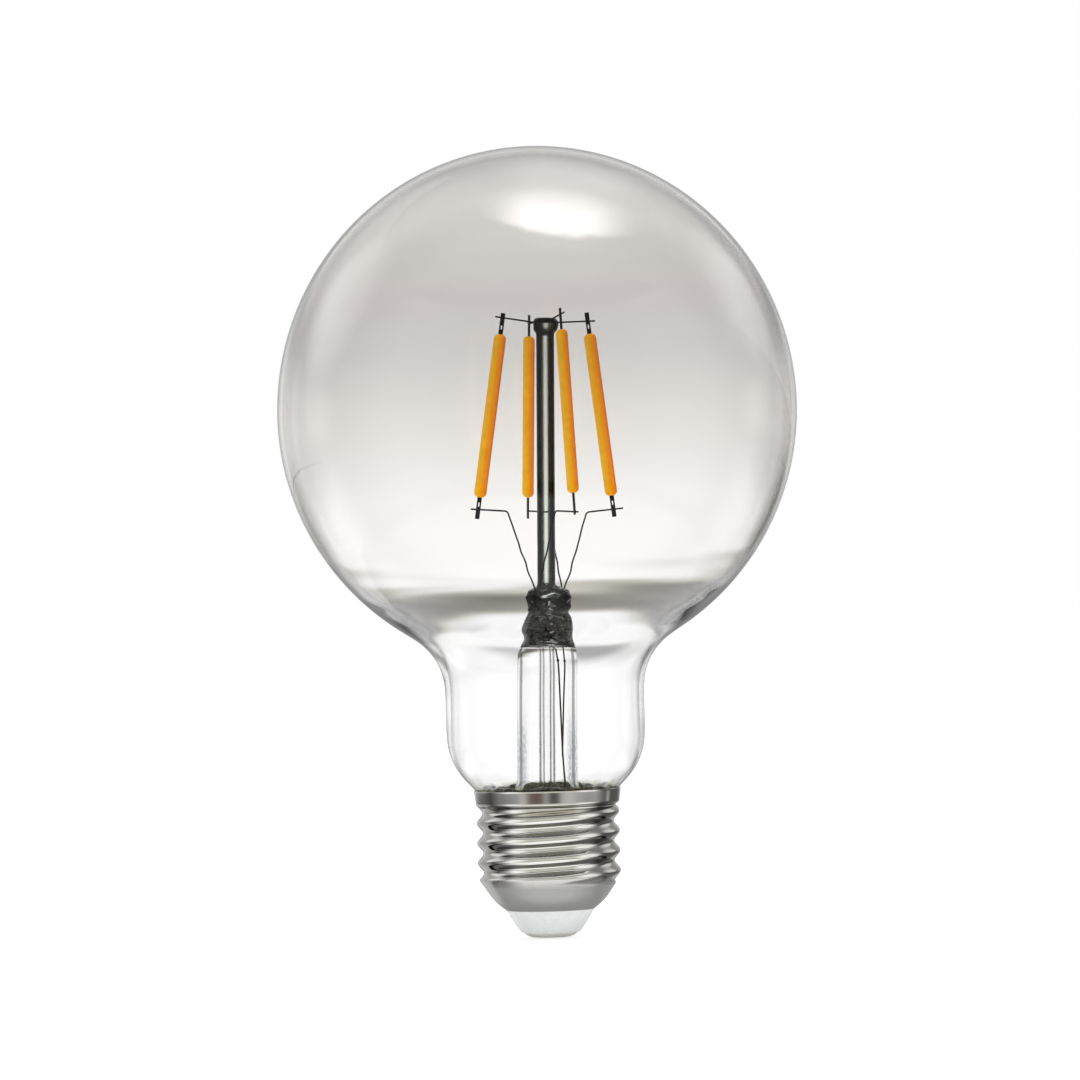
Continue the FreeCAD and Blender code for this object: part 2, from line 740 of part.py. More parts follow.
def neutral_wire():
    x, z = on_board(neutral_place)
    turn = Rotation(Z_AXIS, neutral_angle)
    turns_up = (neutral_angle + 360 - thread_crest_angle) / 360
    crest_z = thread_crest_height + thread_pitch * turns_up
    inside = crest_radius - sheet - 2 * seat_gap
    end = turn.multVec(Vector(inside, 0, crest_z))
    before = turn.multVec(Vector(inside - neutral_run, 0, crest_z))
    route = [Vector(x, pin_end, z), Vector(x, board_front - neutral_drop, z), before, end]
    return bent_wire(wire_radius, route, [wire_bend, wire_bend])


parts["live_wire"] = live_wire()
parts["neutral_wire"] = neutral_wire()


# Board, with a hole for each wire and leg that goes through it
def driver_board():
    board = Part.makeBox(board_width, board_thickness, board_height, Vector(-board_width / 2, board_front, board_foot))
    through = ["smoothing_capacitor", "fusible_resistor", "live_wire", "neutral_wire", "lead_wire_left",
               "lead_wire_right"]
    return sealed_round(board, [parts[name] for name in through])


parts["driver_board"] = driver_board()

os.makedirs("parts", exist_ok=True)
for name, solid in parts.items():
    solid.exportStep(os.path.join("parts", name + ".step"))
    print(name, "solids", len(solid.Solids), "valid", solid.isValid(), "volume", round(solid.Volume, 2))
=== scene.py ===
# %% [markdown]
# # A smoked globe bulb on its screw cap
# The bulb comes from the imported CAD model, which is loaded as a fixed frame. Parts whose shape is right keep
# their mesh and only get a finish. The blown glass is made again here, because a smooth skin with real glass
# waves bends light in a way that flat facets can't.

# %% Load the frame
import math

import bpy
import numpy as np
from mathutils import Matrix, Vector


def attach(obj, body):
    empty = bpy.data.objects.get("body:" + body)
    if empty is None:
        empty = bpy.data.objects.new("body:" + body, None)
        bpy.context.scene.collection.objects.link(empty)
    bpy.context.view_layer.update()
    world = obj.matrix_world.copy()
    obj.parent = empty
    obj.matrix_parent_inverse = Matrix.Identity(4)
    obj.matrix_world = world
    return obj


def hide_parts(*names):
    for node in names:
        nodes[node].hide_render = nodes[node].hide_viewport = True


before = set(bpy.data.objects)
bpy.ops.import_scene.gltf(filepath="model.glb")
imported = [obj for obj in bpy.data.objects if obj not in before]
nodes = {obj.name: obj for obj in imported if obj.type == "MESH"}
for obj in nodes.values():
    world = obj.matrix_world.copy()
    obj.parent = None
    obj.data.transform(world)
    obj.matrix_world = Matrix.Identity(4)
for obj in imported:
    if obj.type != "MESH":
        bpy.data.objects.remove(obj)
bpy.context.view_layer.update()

MM = 0.001

# %% [markdown]
# ## Camera
# A long lens about a metre away draws a bulb with almost no perspective, and its level height keeps both the
# cap and the dome seen from the side. The picture is turned a little, as the bulb stands in the photograph.

# %% Camera
lens_length = 228.0
camera_distance = 1.25
camera_roll = math.radians(1.55)
camera_aim = Vector((-0.1, 0.0, 72.5)) * MM

picture_right = Vector((math.cos(camera_roll), 0.0, -math.sin(camera_roll)))
picture_up = Vector((math.sin(camera_roll), 0.0, math.cos(camera_roll)))
towards_viewer = Vector((0.0, -1.0, 0.0))
camera_turn = Matrix((picture_right, picture_up, towards_viewer)).transposed().to_4x4()

camera_data = bpy.data.cameras.new("long_lens")
camera_data.lens = lens_length
camera_data.sensor_width = 36.0
camera_data.clip_start = 0.05
camera = bpy.data.objects.new("camera", camera_data)
camera.matrix_world = Matrix.Translation(camera_aim + towards_viewer * camera_distance) @ camera_turn
bpy.context.scene.collection.objects.link(camera)
bpy.context.scene.camera = camera
bpy.context.scene.view_settings.view_transform = "Standard"
print("frame width at the bulb, mm:", round(camera_distance * 36.0 / lens_length / MM, 1))


# %% [markdown]
# ## Colours
# A paint chart writes a colour as it looks on a screen, and the renderer works in linear light. One function
# turns the first into the second, so that every colour below can be compared with a real one.

# %% Colours
def linear(hex_colour):
    """Each sRGB channel c becomes c / 12.92 below 0.04045 and ((c + 0.055) / 1.055) to the power 2.4 above."""
    channels = [int(hex_colour[i:i + 2], 16) / 255 for i in (1, 3, 5)]
    return tuple(c / 12.92 if c <= 0.04045 else ((c + 0.055) / 1.055) ** 2.4 for c in channels) + (1.0,)


def grey(amount):
    """A linear colour whose three channels are all the same amount."""
    return (amount, amount, amount, 1.0)


print("white and middle grey as linear light:", linear("#FFFFFF")[0], round(linear("#808080")[0], 3))

# %% [markdown]
# ## One helper for nodes
# Every finish is a network of nodes. It could be drawn by hand in the node editor, but written down it can be
# read and changed in one place. One helper adds any node, sets its values and links its inputs.

# %% One helper for nodes
def add(tree, kind, *values, stops=(), easing="LINEAR", **settings):
    """Adds a node. Values fill its inputs in order, in_NAME fills the input of that name, and every other
    setting is a property. A node or an output that is given as a value is linked. Stops are the (place,
    colour) pairs of a colour ramp, and easing is how it runs between them."""
    node = tree.nodes.new(kind)
    named = {name[3:].replace("_", " "): value for name, value in settings.items() if name.startswith("in_")}
    for name, value in settings.items():
        if not name.startswith("in_"):
            setattr(node, name, value)
    for place, value in [*enumerate(values), *named.items()]:
        source = value.outputs[0] if isinstance(value, bpy.types.Node) else value
        if isinstance(source, bpy.types.NodeSocket):
            tree.links.new(source, node.inputs[place])
        else:
            node.inputs[place].default_value = source
    if stops:
        node.color_ramp.interpolation = easing
        elements = node.color_ramp.elements
        while len(elements) < len(stops):
            elements.new(0.5)
        for element, (place, colour) in zip(elements, stops):
            element.position = place
            element.color = colour
    return node


print("the helper's settings that aren't a node's own:", add.__kwdefaults__)

# %% [markdown]
# ## New finishes
# A piece that is made below gets its finish by name. The other pieces keep the mesh that they have from the
# CAD model, and only their list of materials is changed.

# %% New finishes
def finish_named(name):
    """A new material with an empty node tree; returns both."""
    material = bpy.data.materials.new(name)
    material.use_nodes = True
    material.node_tree.nodes.clear()
    return material, material.node_tree


def give(material, *names):
    """Puts the finish on CAD nodes whose shape stays as it is."""
    for name in names:
        mesh = nodes[name].data
        mesh.materials.clear()
        mesh.materials.append(material)


print("materials before the first finish:", len(bpy.data.materials))

# %% [markdown]
# ## Studio
# Clear glass and chrome show their surroundings more than themselves. So the studio is built first: a pale
# floor, a white backdrop, a large soft box overhead and a tall one behind on each side. Between the white
# sheets the room is darker, and that is what draws the edge of every glass tube.

# %% Floor
def floor_disc(name, radius, height, rings=24, turns=96):
    """Points (r cos a, r sin a, height), with r growing as the square of its step, closed at its middle."""
    r = radius * (np.arange(1, rings + 1) / rings) ** 2
    a = np.arange(turns) / turns * math.tau
    x = np.outer(r, np.cos(a)).ravel()
    y = np.outer(r, np.sin(a)).ravel()
    ring = np.column_stack((x, y, np.full(x.size, height)))
    points = np.vstack(([[0.0, 0.0, height]], ring))
    i = np.arange(turns)
    j = (i + 1) % turns
    centre = np.column_stack((np.zeros(turns, int), 1 + i, 1 + j))
    base = 1 + np.arange(rings - 1)[:, None] * turns
    quads = np.stack((base + i, base + turns + i, base + turns + j, base + j), axis=-1).reshape(-1, 4)
    mesh = bpy.data.meshes.new(name)
    mesh.from_pydata(points.tolist(), [], centre.tolist() + quads.tolist())
    mesh.update()
    disc = bpy.data.objects.new(name, mesh)
    bpy.context.scene.collection.objects.link(disc)
    return disc


floor_radius = 3.0
floor = floor_disc("floor", floor_radius, -0.0002)
floor.visible_transmission = False
floor.visible_glossy = False
floor_paint, tree = finish_named("matt_white_floor")
path = add(tree, "ShaderNodeLightPath")
matt = add(tree, "ShaderNodeBsdfDiffuse", grey(0.90))
white = add(tree, "ShaderNodeEmission", grey(1.0), 0.62)
half = add(tree, "ShaderNodeMixShader", 0.55, matt, white)
lit = add(tree, "ShaderNodeAddShader", half, add(tree, "ShaderNodeEmission", in_Strength=0.36))
paper = add(tree, "ShaderNodeMixShader", path.outputs["Is Diffuse Ray"], lit, matt)
add(tree, "ShaderNodeOutputMaterial", in_Surface=paper)
floor.data.materials.append(floor_paint)
print("floor radius, m:", floor_radius)

# %% [markdown]
# ## Directions in the room
# What stands round the bulb is only ever seen in it or through it. It could be built from planes, but a world
# shader can paint each thing by the direction that a ray leaves in, with no noise and with each edge where the
# glass needs it. First come a ray's turn round the room and its height.

# %% Directions in the room
world = bpy.data.worlds.new("studio")
world.use_nodes = True
tree = world.node_tree
tree.nodes.clear()
bpy.context.scene.world = world
path = add(tree, "ShaderNodeLightPath")
way = add(tree, "ShaderNodeTexCoord").outputs["Generated"]
along = add(tree, "ShaderNodeSeparateXYZ", way)
towards = add(tree, "ShaderNodeMath", along.outputs["Y"], -1.0, operation="MULTIPLY")
turn = add(tree, "ShaderNodeMath", along.outputs["X"], towards, operation="ARCTAN2")
level = add(tree, "ShaderNodeMath", along.outputs["Z"], 0.5, 0.5, operation="MULTIPLY_ADD")
round_room = add(tree, "ShaderNodeMath", turn, 1 / math.tau, 0.5, operation="MULTIPLY_ADD")


def at(elevation):
    """The place on the level ramp of an elevation in degrees: half of its sine, from the middle."""
    return 0.5 + 0.5 * math.sin(math.radians(elevation))


print("level ramp at -12, 0 and 41 degrees:", [round(at(elevation), 3) for elevation in (-12, 0, 41)])

# %% [markdown]
# ## The look through glass
# Clear glass is drawn by what is behind it. White sheets stand on four sides with darker gaps between them, so
# the glass is edged with dark from the front, the back and both sides. Under the sheets' lower edge there is a
# dark gap, and below it the white table. The thick glass round the neck bends that gap into view, as the grey
# band across the lower globe.

# %% The look through glass
from_sheet = add(tree, "ShaderNodeMath", turn, math.pi / 4, operation="PINGPONG")
sheet_white = add(tree, "ShaderNodeMapRange", from_sheet, math.radians(29), math.radians(37), 1.0, 0.32)
# Glass takes a tenth of the light, so the sheets are a little over white.
through_white = 1.10
level_look = add(tree, "ShaderNodeValToRGB", level, stops=[
    (0.0, grey(0.9)), (at(-18), grey(0.9)), (at(-12), grey(0.12)), (at(-8), linear("#67645E")),
    (at(-7), linear("#7B7871")), (at(-6.1), linear("#95928A")), (at(-5.5), linear("#ACA9A0")),
    (at(-4.8), linear("#CDCAC1")), (at(-3.6), grey(0.86)), (at(-2.5), grey(1.02)),
    (at(-1.6), grey(through_white)), (at(2.5), grey(through_white)), (at(4.5), grey(1.0)),
    (at(6.0), grey(0.80)), (at(7.2), grey(0.58)), (at(8.5), grey(0.42)), (at(11), grey(0.44)),
    (at(14), grey(1.1)), (at(48), grey(1.1)), (at(62), grey(0.5)), (1.0, grey(0.5))])
tilt = add(tree, "ShaderNodeMath", along.outputs["Z"], operation="ABSOLUTE")
off_level = add(tree, "ShaderNodeMapRange", tilt, 0.20, 0.36, 0.0, 1.0)
gaps = add(tree, "ShaderNodeMath", sheet_white, off_level, operation="MAXIMUM")
through_room = add(tree, "ShaderNodeMixRGB", 1.0, level_look, gaps, blend_type="MULTIPLY")
print("stops of the look through glass:", len(level_look.color_ramp.elements))

# %% [markdown]
# ## Walls that show in gloss
# Plated metal shows the room like a curved mirror. At eye height there is a beige wall behind the camera with a
# white sheet on each side of it, then a dark corner, and the white backdrop behind the bulb. Lower down stand
# darker things, with the opening between the sheets, and those are what the flared collar shows. A picture of a
# room would do the same, but two ramps round the room are easier to move.

# %% Walls that show in gloss
wall = add(tree, "ShaderNodeValToRGB", round_room, stops=[
    (0.00, grey(0.35)), (0.03, grey(0.45)), (0.055, grey(0.95)), (0.16, grey(0.90)), (0.21, grey(0.22)),
    (0.27, grey(0.40)), (0.315, grey(1.15)), (0.36, grey(1.0)), (0.40, linear("#D4D1C8")),
    (0.62, linear("#D4D1C8")), (0.66, grey(1.1)), (0.72, grey(1.0)), (0.77, grey(0.25)), (0.82, grey(0.22)),
    (0.93, grey(0.30)), (0.95, grey(0.80)), (0.97, grey(0.45)), (1.0, grey(0.35))])
low_wall = add(tree, "ShaderNodeValToRGB", round_room, easing="B_SPLINE", stops=[
    (0.0, grey(0.2)), (0.14, grey(0.24)), (0.20, grey(0.20)), (0.29, grey(0.21)), (0.33, grey(0.26)),
    (0.3675, grey(0.36)), (0.390, grey(0.58)), (0.415, linear("#7A6D66")), (0.445, linear("#5A4A44")),
    (0.475, linear("#6A5C55")), (0.495, grey(0.40)), (0.515, grey(0.05)), (0.545, grey(0.07)),
    (0.565, grey(0.45)), (0.60, grey(0.60)), (0.64, grey(0.42)), (0.69, grey(0.30)), (0.745, grey(0.34)),
    (0.79, grey(0.42)), (0.806, grey(0.45)), (0.8155, grey(2.2)), (0.825, grey(0.40)), (0.845, grey(0.2)),
    (1.0, grey(0.2))])
# Seen at a dip of sine s, the height of a mirror's normal is (z + s) / sqrt(2 - 2y) for a ray that leaves it
# along (x, y, z). The collar leans down by 7.7 degrees, and only what leans like it shows the low wall.
collar_height, collar_front = 0.0257, 0.013
to_collar = math.hypot(camera.location.x, camera.location.y) - collar_front
dip = math.sin(math.atan2(camera.location.z - collar_height, to_collar))
spread = add(tree, "ShaderNodeMath", along.outputs["Y"], -2.0, 2.0, operation="MULTIPLY_ADD")
per_spread = add(tree, "ShaderNodeMath", spread, -0.5, operation="POWER")
raised = add(tree, "ShaderNodeMath", along.outputs["Z"], dip, operation="ADD")
facing_down = add(tree, "ShaderNodeMath", raised, per_spread, operation="MULTIPLY")
lean = add(tree, "ShaderNodeMath", facing_down, 0.5, 0.5, operation="MULTIPLY_ADD")
low_share = add(tree, "ShaderNodeValToRGB", lean, stops=[
    (0.0, grey(0)), (0.4300, grey(0)), (0.4312, grey(1)), (0.4348, grey(1)), (0.4360, grey(0)), (1.0, grey(0))])
walls = add(tree, "ShaderNodeMixRGB", low_share, wall, low_wall)
print("dip of the collar's line of sight, degrees:", round(math.degrees(math.asin(dip)), 2))

# %% [markdown]
# ## Table and ceiling in gloss
# Below the walls a mirror shows the dark edge of the table and then its white top, and above them the dark
# ceiling and then a pale one. These run all round, so a ramp along the height is enough. Right under the bulb
# the table is in its own shade, and there a steep flank of the thread turns dark.

# %% Table and ceiling in gloss
wall_foot, wall_top = -31, 41
wall_share = add(tree, "ShaderNodeValToRGB", level, stops=[
    (0.0, grey(0)), (at(wall_foot - 2), grey(0)), (at(wall_foot), grey(1)), (at(wall_top), grey(1)),
    (at(wall_top + 2), grey(0)), (1.0, grey(0))])
bands = add(tree, "ShaderNodeValToRGB", level, stops=[
    (0.0, grey(1.15)), (at(-40), grey(1.15)), (at(-37), grey(0.03)), (at(wall_foot - 2), grey(0.03)),
    (at(wall_foot), grey(0.0)), (at(wall_top), grey(0.0)), (at(wall_top + 2), grey(0.01)), (at(48), grey(0.01)),
    (at(50), grey(0.35)), (at(54), grey(0.50)), (at(57), grey(0.9)), (1.0, grey(0.9))])
aside = add(tree, "ShaderNodeMath", turn, operation="ABSOLUTE")
side_dim = add(tree, "ShaderNodeMapRange", aside, math.radians(75), math.radians(110), 1.0, 0.30)
seen_walls = add(tree, "ShaderNodeMixRGB", 1.0, walls, wall_share, blend_type="MULTIPLY")
seen_bands = add(tree, "ShaderNodeMixRGB", 1.0, bands, side_dim, blend_type="MULTIPLY")
open_room = add(tree, "ShaderNodeMixRGB", 1.0, seen_walls, seen_bands, blend_type="ADD")
# It shows where a surface faces down by more than about 45 degrees.
shade_share = add(tree, "ShaderNodeMapRange", facing_down, -0.72, -0.66, 1.0, 0.0)
shaded_room = add(tree, "ShaderNodeMixRGB", shade_share, open_room, grey(0.26))
# A pale ceiling starts behind the camera and comes lower towards the back of the room.
ceiling_line = add(tree, "ShaderNodeMath", along.outputs["Y"], 0.65, along.outputs["Z"],
                   operation="MULTIPLY_ADD")
ceiling = add(tree, "ShaderNodeMapRange", ceiling_line, 0.55, 0.57, 0.0, 0.6, interpolation_type="SMOOTHSTEP")
room = add(tree, "ShaderNodeMixRGB", 1.0, shaded_room, ceiling, blend_type="LIGHTEN")
print("walls from and to, degrees:", wall_foot, wall_top)

# %% [markdown]
# ## Overhead soft box as it shines in gloss
# The white spot on the dome is a mirror image of a wide sheet overhead. Its near edge is crisp and curved and
# its far edge fades, as a folded diffuser hangs. A lamp would give a hard rectangle, so the lamp is hidden from
# gloss and the sheet is painted here. Two faint round glows stand for the tall boxes beside it.

# %% Overhead soft box as it shines in gloss
off_middle = add(tree, "ShaderNodeMath", along.outputs["X"], -0.14, operation="ADD")
off_middle_2 = add(tree, "ShaderNodeMath", off_middle, 2.0, operation="POWER")
near_edge = add(tree, "ShaderNodeMath", off_middle_2, -1.7, along.outputs["Y"], operation="MULTIPLY_ADD")
folds = add(tree, "ShaderNodeTexNoise", in_Vector=way, in_Scale=9.0, in_Detail=2.0)
wavy_edge = add(tree, "ShaderNodeMath", folds.outputs["Fac"], 0.09, near_edge, operation="MULTIPLY_ADD")
off_side = add(tree, "ShaderNodeMath", off_middle, operation="ABSOLUTE")
high_up = add(tree, "ShaderNodeMapRange", along.outputs["Z"], 0.60, 0.80, 0.0, 1.0)


def sheet(tree, strength, *fades):
    """High up, a light of the given strength times each fade. A fade is (value, start, end, first, last)."""
    light = grey(strength)
    for fade in fades:
        share = add(tree, "ShaderNodeMapRange", *fade, interpolation_type="SMOOTHSTEP")
        light = add(tree, "ShaderNodeMixRGB", 1.0, light, share, blend_type="MULTIPLY")
    return add(tree, "ShaderNodeMixRGB", 1.0, light, high_up, blend_type="MULTIPLY")


def glow(tree, direction, inner, outer, strength):
    """A round patch of light: full within inner degrees of a direction and gone at outer."""
    aim = tuple(Vector(direction).normalized())
    near = add(tree, "ShaderNodeVectorMath", way, aim, operation="DOT_PRODUCT").outputs["Value"]
    edge, core = math.cos(math.radians(outer)), math.cos(math.radians(inner))
    return add(tree, "ShaderNodeMapRange", near, edge, core, 0.0, strength, interpolation_type="SMOOTHSTEP")


sheet_strength = 14.5
main_fold = sheet(tree, sheet_strength, (wavy_edge, -0.17, -0.08, 0.0, 1.0),
                  (along.outputs["Y"], -0.06, 0.42, 1.0, 0.0), (off_side, 0.14, 0.42, 1.0, 0.0))
second_fold = sheet(tree, 1.0, (near_edge, -0.36, -0.26, 0.0, 1.0), (off_side, 0.10, 0.30, 1.0, 0.0))
overhead = add(tree, "ShaderNodeMixRGB", 1.0, main_fold, second_fold, blend_type="ADD")
left_glow = glow(tree, (-0.79, 0.41, 0.45), 3.0, 22.0, 1.4)
right_glow = glow(tree, (0.74, 0.55, 0.39), 3.0, 20.0, 1.2)
side_glow = add(tree, "ShaderNodeMath", left_glow, right_glow, operation="ADD")
print("overhead sheet's brightness, in whites:", sheet_strength)

# %% [markdown]
# ## The look of the whole room
# One world has to be three rooms: white for the camera, the painted room for gloss, and the sheets for what is
# seen through glass. The kind of ray chooses. A ray that has come through glass counts as glossy too, so the
# look through glass is chosen last. One that bounced inside the glass and comes back towards the front shows a
# dark room, as the inside of a bulb gets little light back.

# %% The look of the whole room
lit_room = add(tree, "ShaderNodeMixRGB", 1.0, room, overhead, blend_type="ADD")
gloss_room = add(tree, "ShaderNodeMixRGB", 1.0, lit_room, side_glow, blend_type="ADD")
shiny = add(tree, "ShaderNodeMixRGB", path.outputs["Is Glossy Ray"], grey(0.95), gloss_room)
bounced = add(tree, "ShaderNodeMath", path.outputs["Glossy Depth"], 1.0, operation="MINIMUM")
forwards = add(tree, "ShaderNodeMapRange", along.outputs["Y"], 0.2, 0.5, 1.0, 0.0)
turned_back = add(tree, "ShaderNodeMath", bounced, forwards, operation="MULTIPLY")
dim_room = add(tree, "ShaderNodeMixRGB", 1.0, room, grey(0.15), blend_type="MULTIPLY")
seen_through = add(tree, "ShaderNodeMixRGB", turned_back, through_room, dim_room)
inside = add(tree, "ShaderNodeMixRGB", path.outputs["Is Transmission Ray"], shiny, seen_through)
sky = add(tree, "ShaderNodeMixRGB", path.outputs["Is Camera Ray"], inside, grey(1.0))
add(tree, "ShaderNodeOutputWorld", in_Surface=add(tree, "ShaderNodeBackground", sky))
print("world nodes:", len(tree.nodes))

# %% [markdown]
# ## Soft boxes
# The lamps themselves only light what is matt: the filaments, the insulator and the floor. They are area lights
# in the places of the sheets, one overhead and one behind on each side, and glass and gloss don't see them.

# %% Soft boxes
def soft_box(name, place, aim, width, height, brightness):
    """A rectangle of even brightness: its power is brightness times pi times its area."""
    data = bpy.data.lights.new(name, "AREA")
    data.shape = "RECTANGLE"
    data.size = width
    data.size_y = height
    data.energy = brightness * math.pi * width * height
    box = bpy.data.objects.new(name, data)
    box.location = place
    box.rotation_euler = (Vector(aim) - Vector(place)).to_track_quat("-Z", "Y").to_euler()
    box.visible_camera = False
    box.visible_glossy = False
    box.visible_transmission = False
    bpy.context.scene.collection.objects.link(box)
    return box


globe_middle = (0.0, 0.0, 0.096)
soft_box("overhead_box", (0.19, 0.10, 1.09), globe_middle, 0.58, 0.44, 5.0)
side_distance = 1.3
for name, azimuth in (("left_strip", 117), ("right_strip", -123)):
    turn_to = math.radians(-90 - azimuth)
    rise = math.radians(26)
    offset = Vector((math.cos(turn_to) * math.cos(rise), math.sin(turn_to) * math.cos(rise), math.sin(rise)))
    soft_box(name, Vector(globe_middle) + offset * side_distance, globe_middle, 0.14, 0.55, 1.6)

# %% [markdown]
# ## Blown glass bulb
# The bulb is soda glass blown in a mould: a globe, a neck drawn in over a tight fillet, and a shoulder that
# closes on the cap. It could be a solidified surface, but then both skins would be exactly parallel and the
# glass would look like plastic. Instead each skin is a profile turned round the axis, and the inner one
# wanders by a few hundredths of a millimetre, as a blown wall does.

# %% Profile of the bulb
overall_length = 144.5
globe_radius = 47.5
dome_rise = 0.8
glass_wall = 0.9
neck_radius = 18.15
neck_fillet = 11.2
shoulder_radius = 12.0
shoulder_top = 37.0
sleeve_radius = 12.4
sleeve_foot = 24.4
globe_centre = overall_length - globe_radius - dome_rise
fillet_x = neck_radius + neck_fillet
fillet_z = globe_centre - math.sqrt((globe_radius + neck_fillet) ** 2 - fillet_x ** 2)
tangent = math.atan2(fillet_z - globe_centre, fillet_x)


def swept(centre, across, up, start, end, count):
    """Points centre + (across cos t, up sin t) for t from start to end, without the last one."""
    t = np.linspace(start, end, count, endpoint=False)
    return np.column_stack((centre[0] + across * np.cos(t), centre[1] + up * np.sin(t)))


def bulb_profile(inset):
    """The bulb's half outline (radius, height) from its top down to its foot, taken in by inset."""
    shoulder_x = neck_radius - shoulder_radius
    sleeve = sleeve_radius - inset
    foot_turn = -math.acos((sleeve - shoulder_x) / (shoulder_radius - inset))
    ball = globe_radius - inset
    return np.vstack((
        swept((0, globe_centre), ball, ball + dome_rise, math.pi / 2, 0, 70),
        swept((0, globe_centre), ball, ball, 0, tangent, 50),
        swept((fillet_x, fillet_z), neck_fillet + inset, neck_fillet + inset, tangent + math.pi, math.pi, 34),
        np.column_stack((np.full(12, neck_radius - inset),
                         np.linspace(fillet_z, shoulder_top, 12, endpoint=False))),
        swept((shoulder_x, shoulder_top), shoulder_radius - inset, shoulder_radius - inset, 0, foot_turn, 26),
        [[sleeve, shoulder_top + (shoulder_radius - inset) * math.sin(foot_turn)], [sleeve, sleeve_foot]]))

print("globe centre and fillet height, mm:", round(globe_centre, 2), round(fillet_z, 2))

# %% [markdown]
# ## Melted outline and gathered wall
# Glass that was blown hot has no sharp change of curve, and its wall isn't even: it gathers where the globe is
# drawn in to the neck. So the arcs are evened out by a bell along their length, and the inner skin is the outer
# one moved in by a wall that changes with the height.

# %% Melted outline and gathered wall
def eased(value, start, end):
    """0 before start, 1 after end, and 3t^2 - 2t^3 between them."""
    t = np.clip((value - start) / (end - start), 0, 1)
    return t * t * (3 - 2 * t)


def gather_at(z):
    """The extra wall round the neck's fillet."""
    return 0.45 * np.exp(-((z - 54.5) / 6.0) ** 2)


def wall_at(z):
    """The wall gathers round the neck's fillet as the globe is drawn off it, and thins towards the foot."""
    return glass_wall + gather_at(z) - 0.5 * (1 - eased(z, 28, 42))


def inner_skin(outer):
    """The outer half outline moved along its own normals (turned a quarter from its direction) by the wall."""
    way = np.gradient(outer, axis=0)
    way[0] = (1.0, 0.0)
    inward = np.column_stack((way[:, 1], -way[:, 0])) / np.linalg.norm(way, axis=1)[:, None]
    inner = outer + inward * wall_at(outer[:, 1])[:, None]
    inner[0, 0] = 0.0
    inner[-1, 1] = outer[-1, 1]
    return inner


def melted_line(points, spacing=0.35, spread=1.5):
    """The line at even spacing along its length, with its curvature evened out by a bell of that spread."""
    length = np.concatenate(([0], np.cumsum(np.hypot(*np.diff(points, axis=0).T))))
    step = np.linspace(0, length[-1], round(length[-1] / spacing))
    even = np.column_stack([np.interp(step, length, points[:, k]) for k in (0, 1)])
    reach = round(3 * spread / spacing)
    bell = np.exp(-0.5 * (np.arange(-reach, reach + 1) * spacing / spread) ** 2)
    mirror = even[reach:0:-1] * (-1, 1)
    beyond = 2 * even[-1] - even[-2:-reach - 2:-1]
    padded = np.vstack((mirror, even, beyond))
    line = np.column_stack([np.convolve(padded[:, k], bell / bell.sum(), "valid") for k in (0, 1)])
    line[0, 0] = 0.0
    return line


outer_profile = melted_line(bulb_profile(0.0))
inner_profile = inner_skin(outer_profile)
print("profile points:", len(outer_profile), "widest, mm:", outer_profile[:, 0].max() * 2)
print("wall at the top, fillet and foot, mm:", wall_at(np.array([140.0, 57.2, 28.0])).round(2))

# %% [markdown]
# ## Turn a profile into a closed wall
# A screw modifier could turn the profile, but the skin couldn't wander round the axis then. So the rings are
# computed as one array, joined by quads, and closed on one point at each end.

# %% Turn a profile into a closed wall
def capped_skin(rings, first, last):
    """Points and faces of a skin that joins rings (ring, turn, xyz) and closes on one point at each end."""
    count, turns = rings.shape[:2]
    i = np.arange(turns)
    j = (i + 1) % turns
    base = np.arange(count - 1)[:, None] * turns
    quads = np.stack((base + i, base + turns + i, base + turns + j, base + j), -1).reshape(-1, 4)
    start, end = count * turns, count * turns + 1
    lowest = (count - 1) * turns
    fans = np.vstack((np.column_stack((np.full(turns, start), i, j)),
                      np.column_stack((np.full(turns, end), lowest + j, lowest + i))))
    return np.vstack((rings.reshape(-1, 3), [first, last])), quads.tolist() + fans.tolist()


def turned_rings(profile, turns, wander=None):
    """Point (r cos a, r sin a, z) for each profile point (r, z) between its ends, which are on the axis.
    wander(r, z, a) gives a radius to add."""
    a = np.arange(turns) / turns * math.tau
    r, z = profile[1:-1, :1], profile[1:-1, 1:]
    radius = r + np.zeros(turns) if wander is None else r + wander(r, z, a[None, :])
    return np.stack((radius * np.cos(a), radius * np.sin(a), z + np.zeros(turns)), -1)


def mesh_piece(name, points, faces):
    """Makes an object of points in millimetres, smooth all over."""
    mesh = bpy.data.meshes.new(name)
    mesh.from_pydata((points * MM).tolist(), [], faces)
    mesh.update()
    mesh.shade_smooth()
    piece = bpy.data.objects.new(name, mesh)
    bpy.context.scene.collection.objects.link(piece)
    print(name, "faces:", len(mesh.polygons))
    return piece


# %% [markdown]
# ## Glass bulb
# The outside of a mould-blown bulb is true to its mould, and the waves are on the inside. So only the inner
# skin moves: by a few hundredths of a millimetre over the lower globe, enough to bend the light there. The
# whole bulb could get a bump instead, but a bump has no depth to refract in.

# %% Glass bulb
skin_points = len(outer_profile)
ripple_depth = 0.018


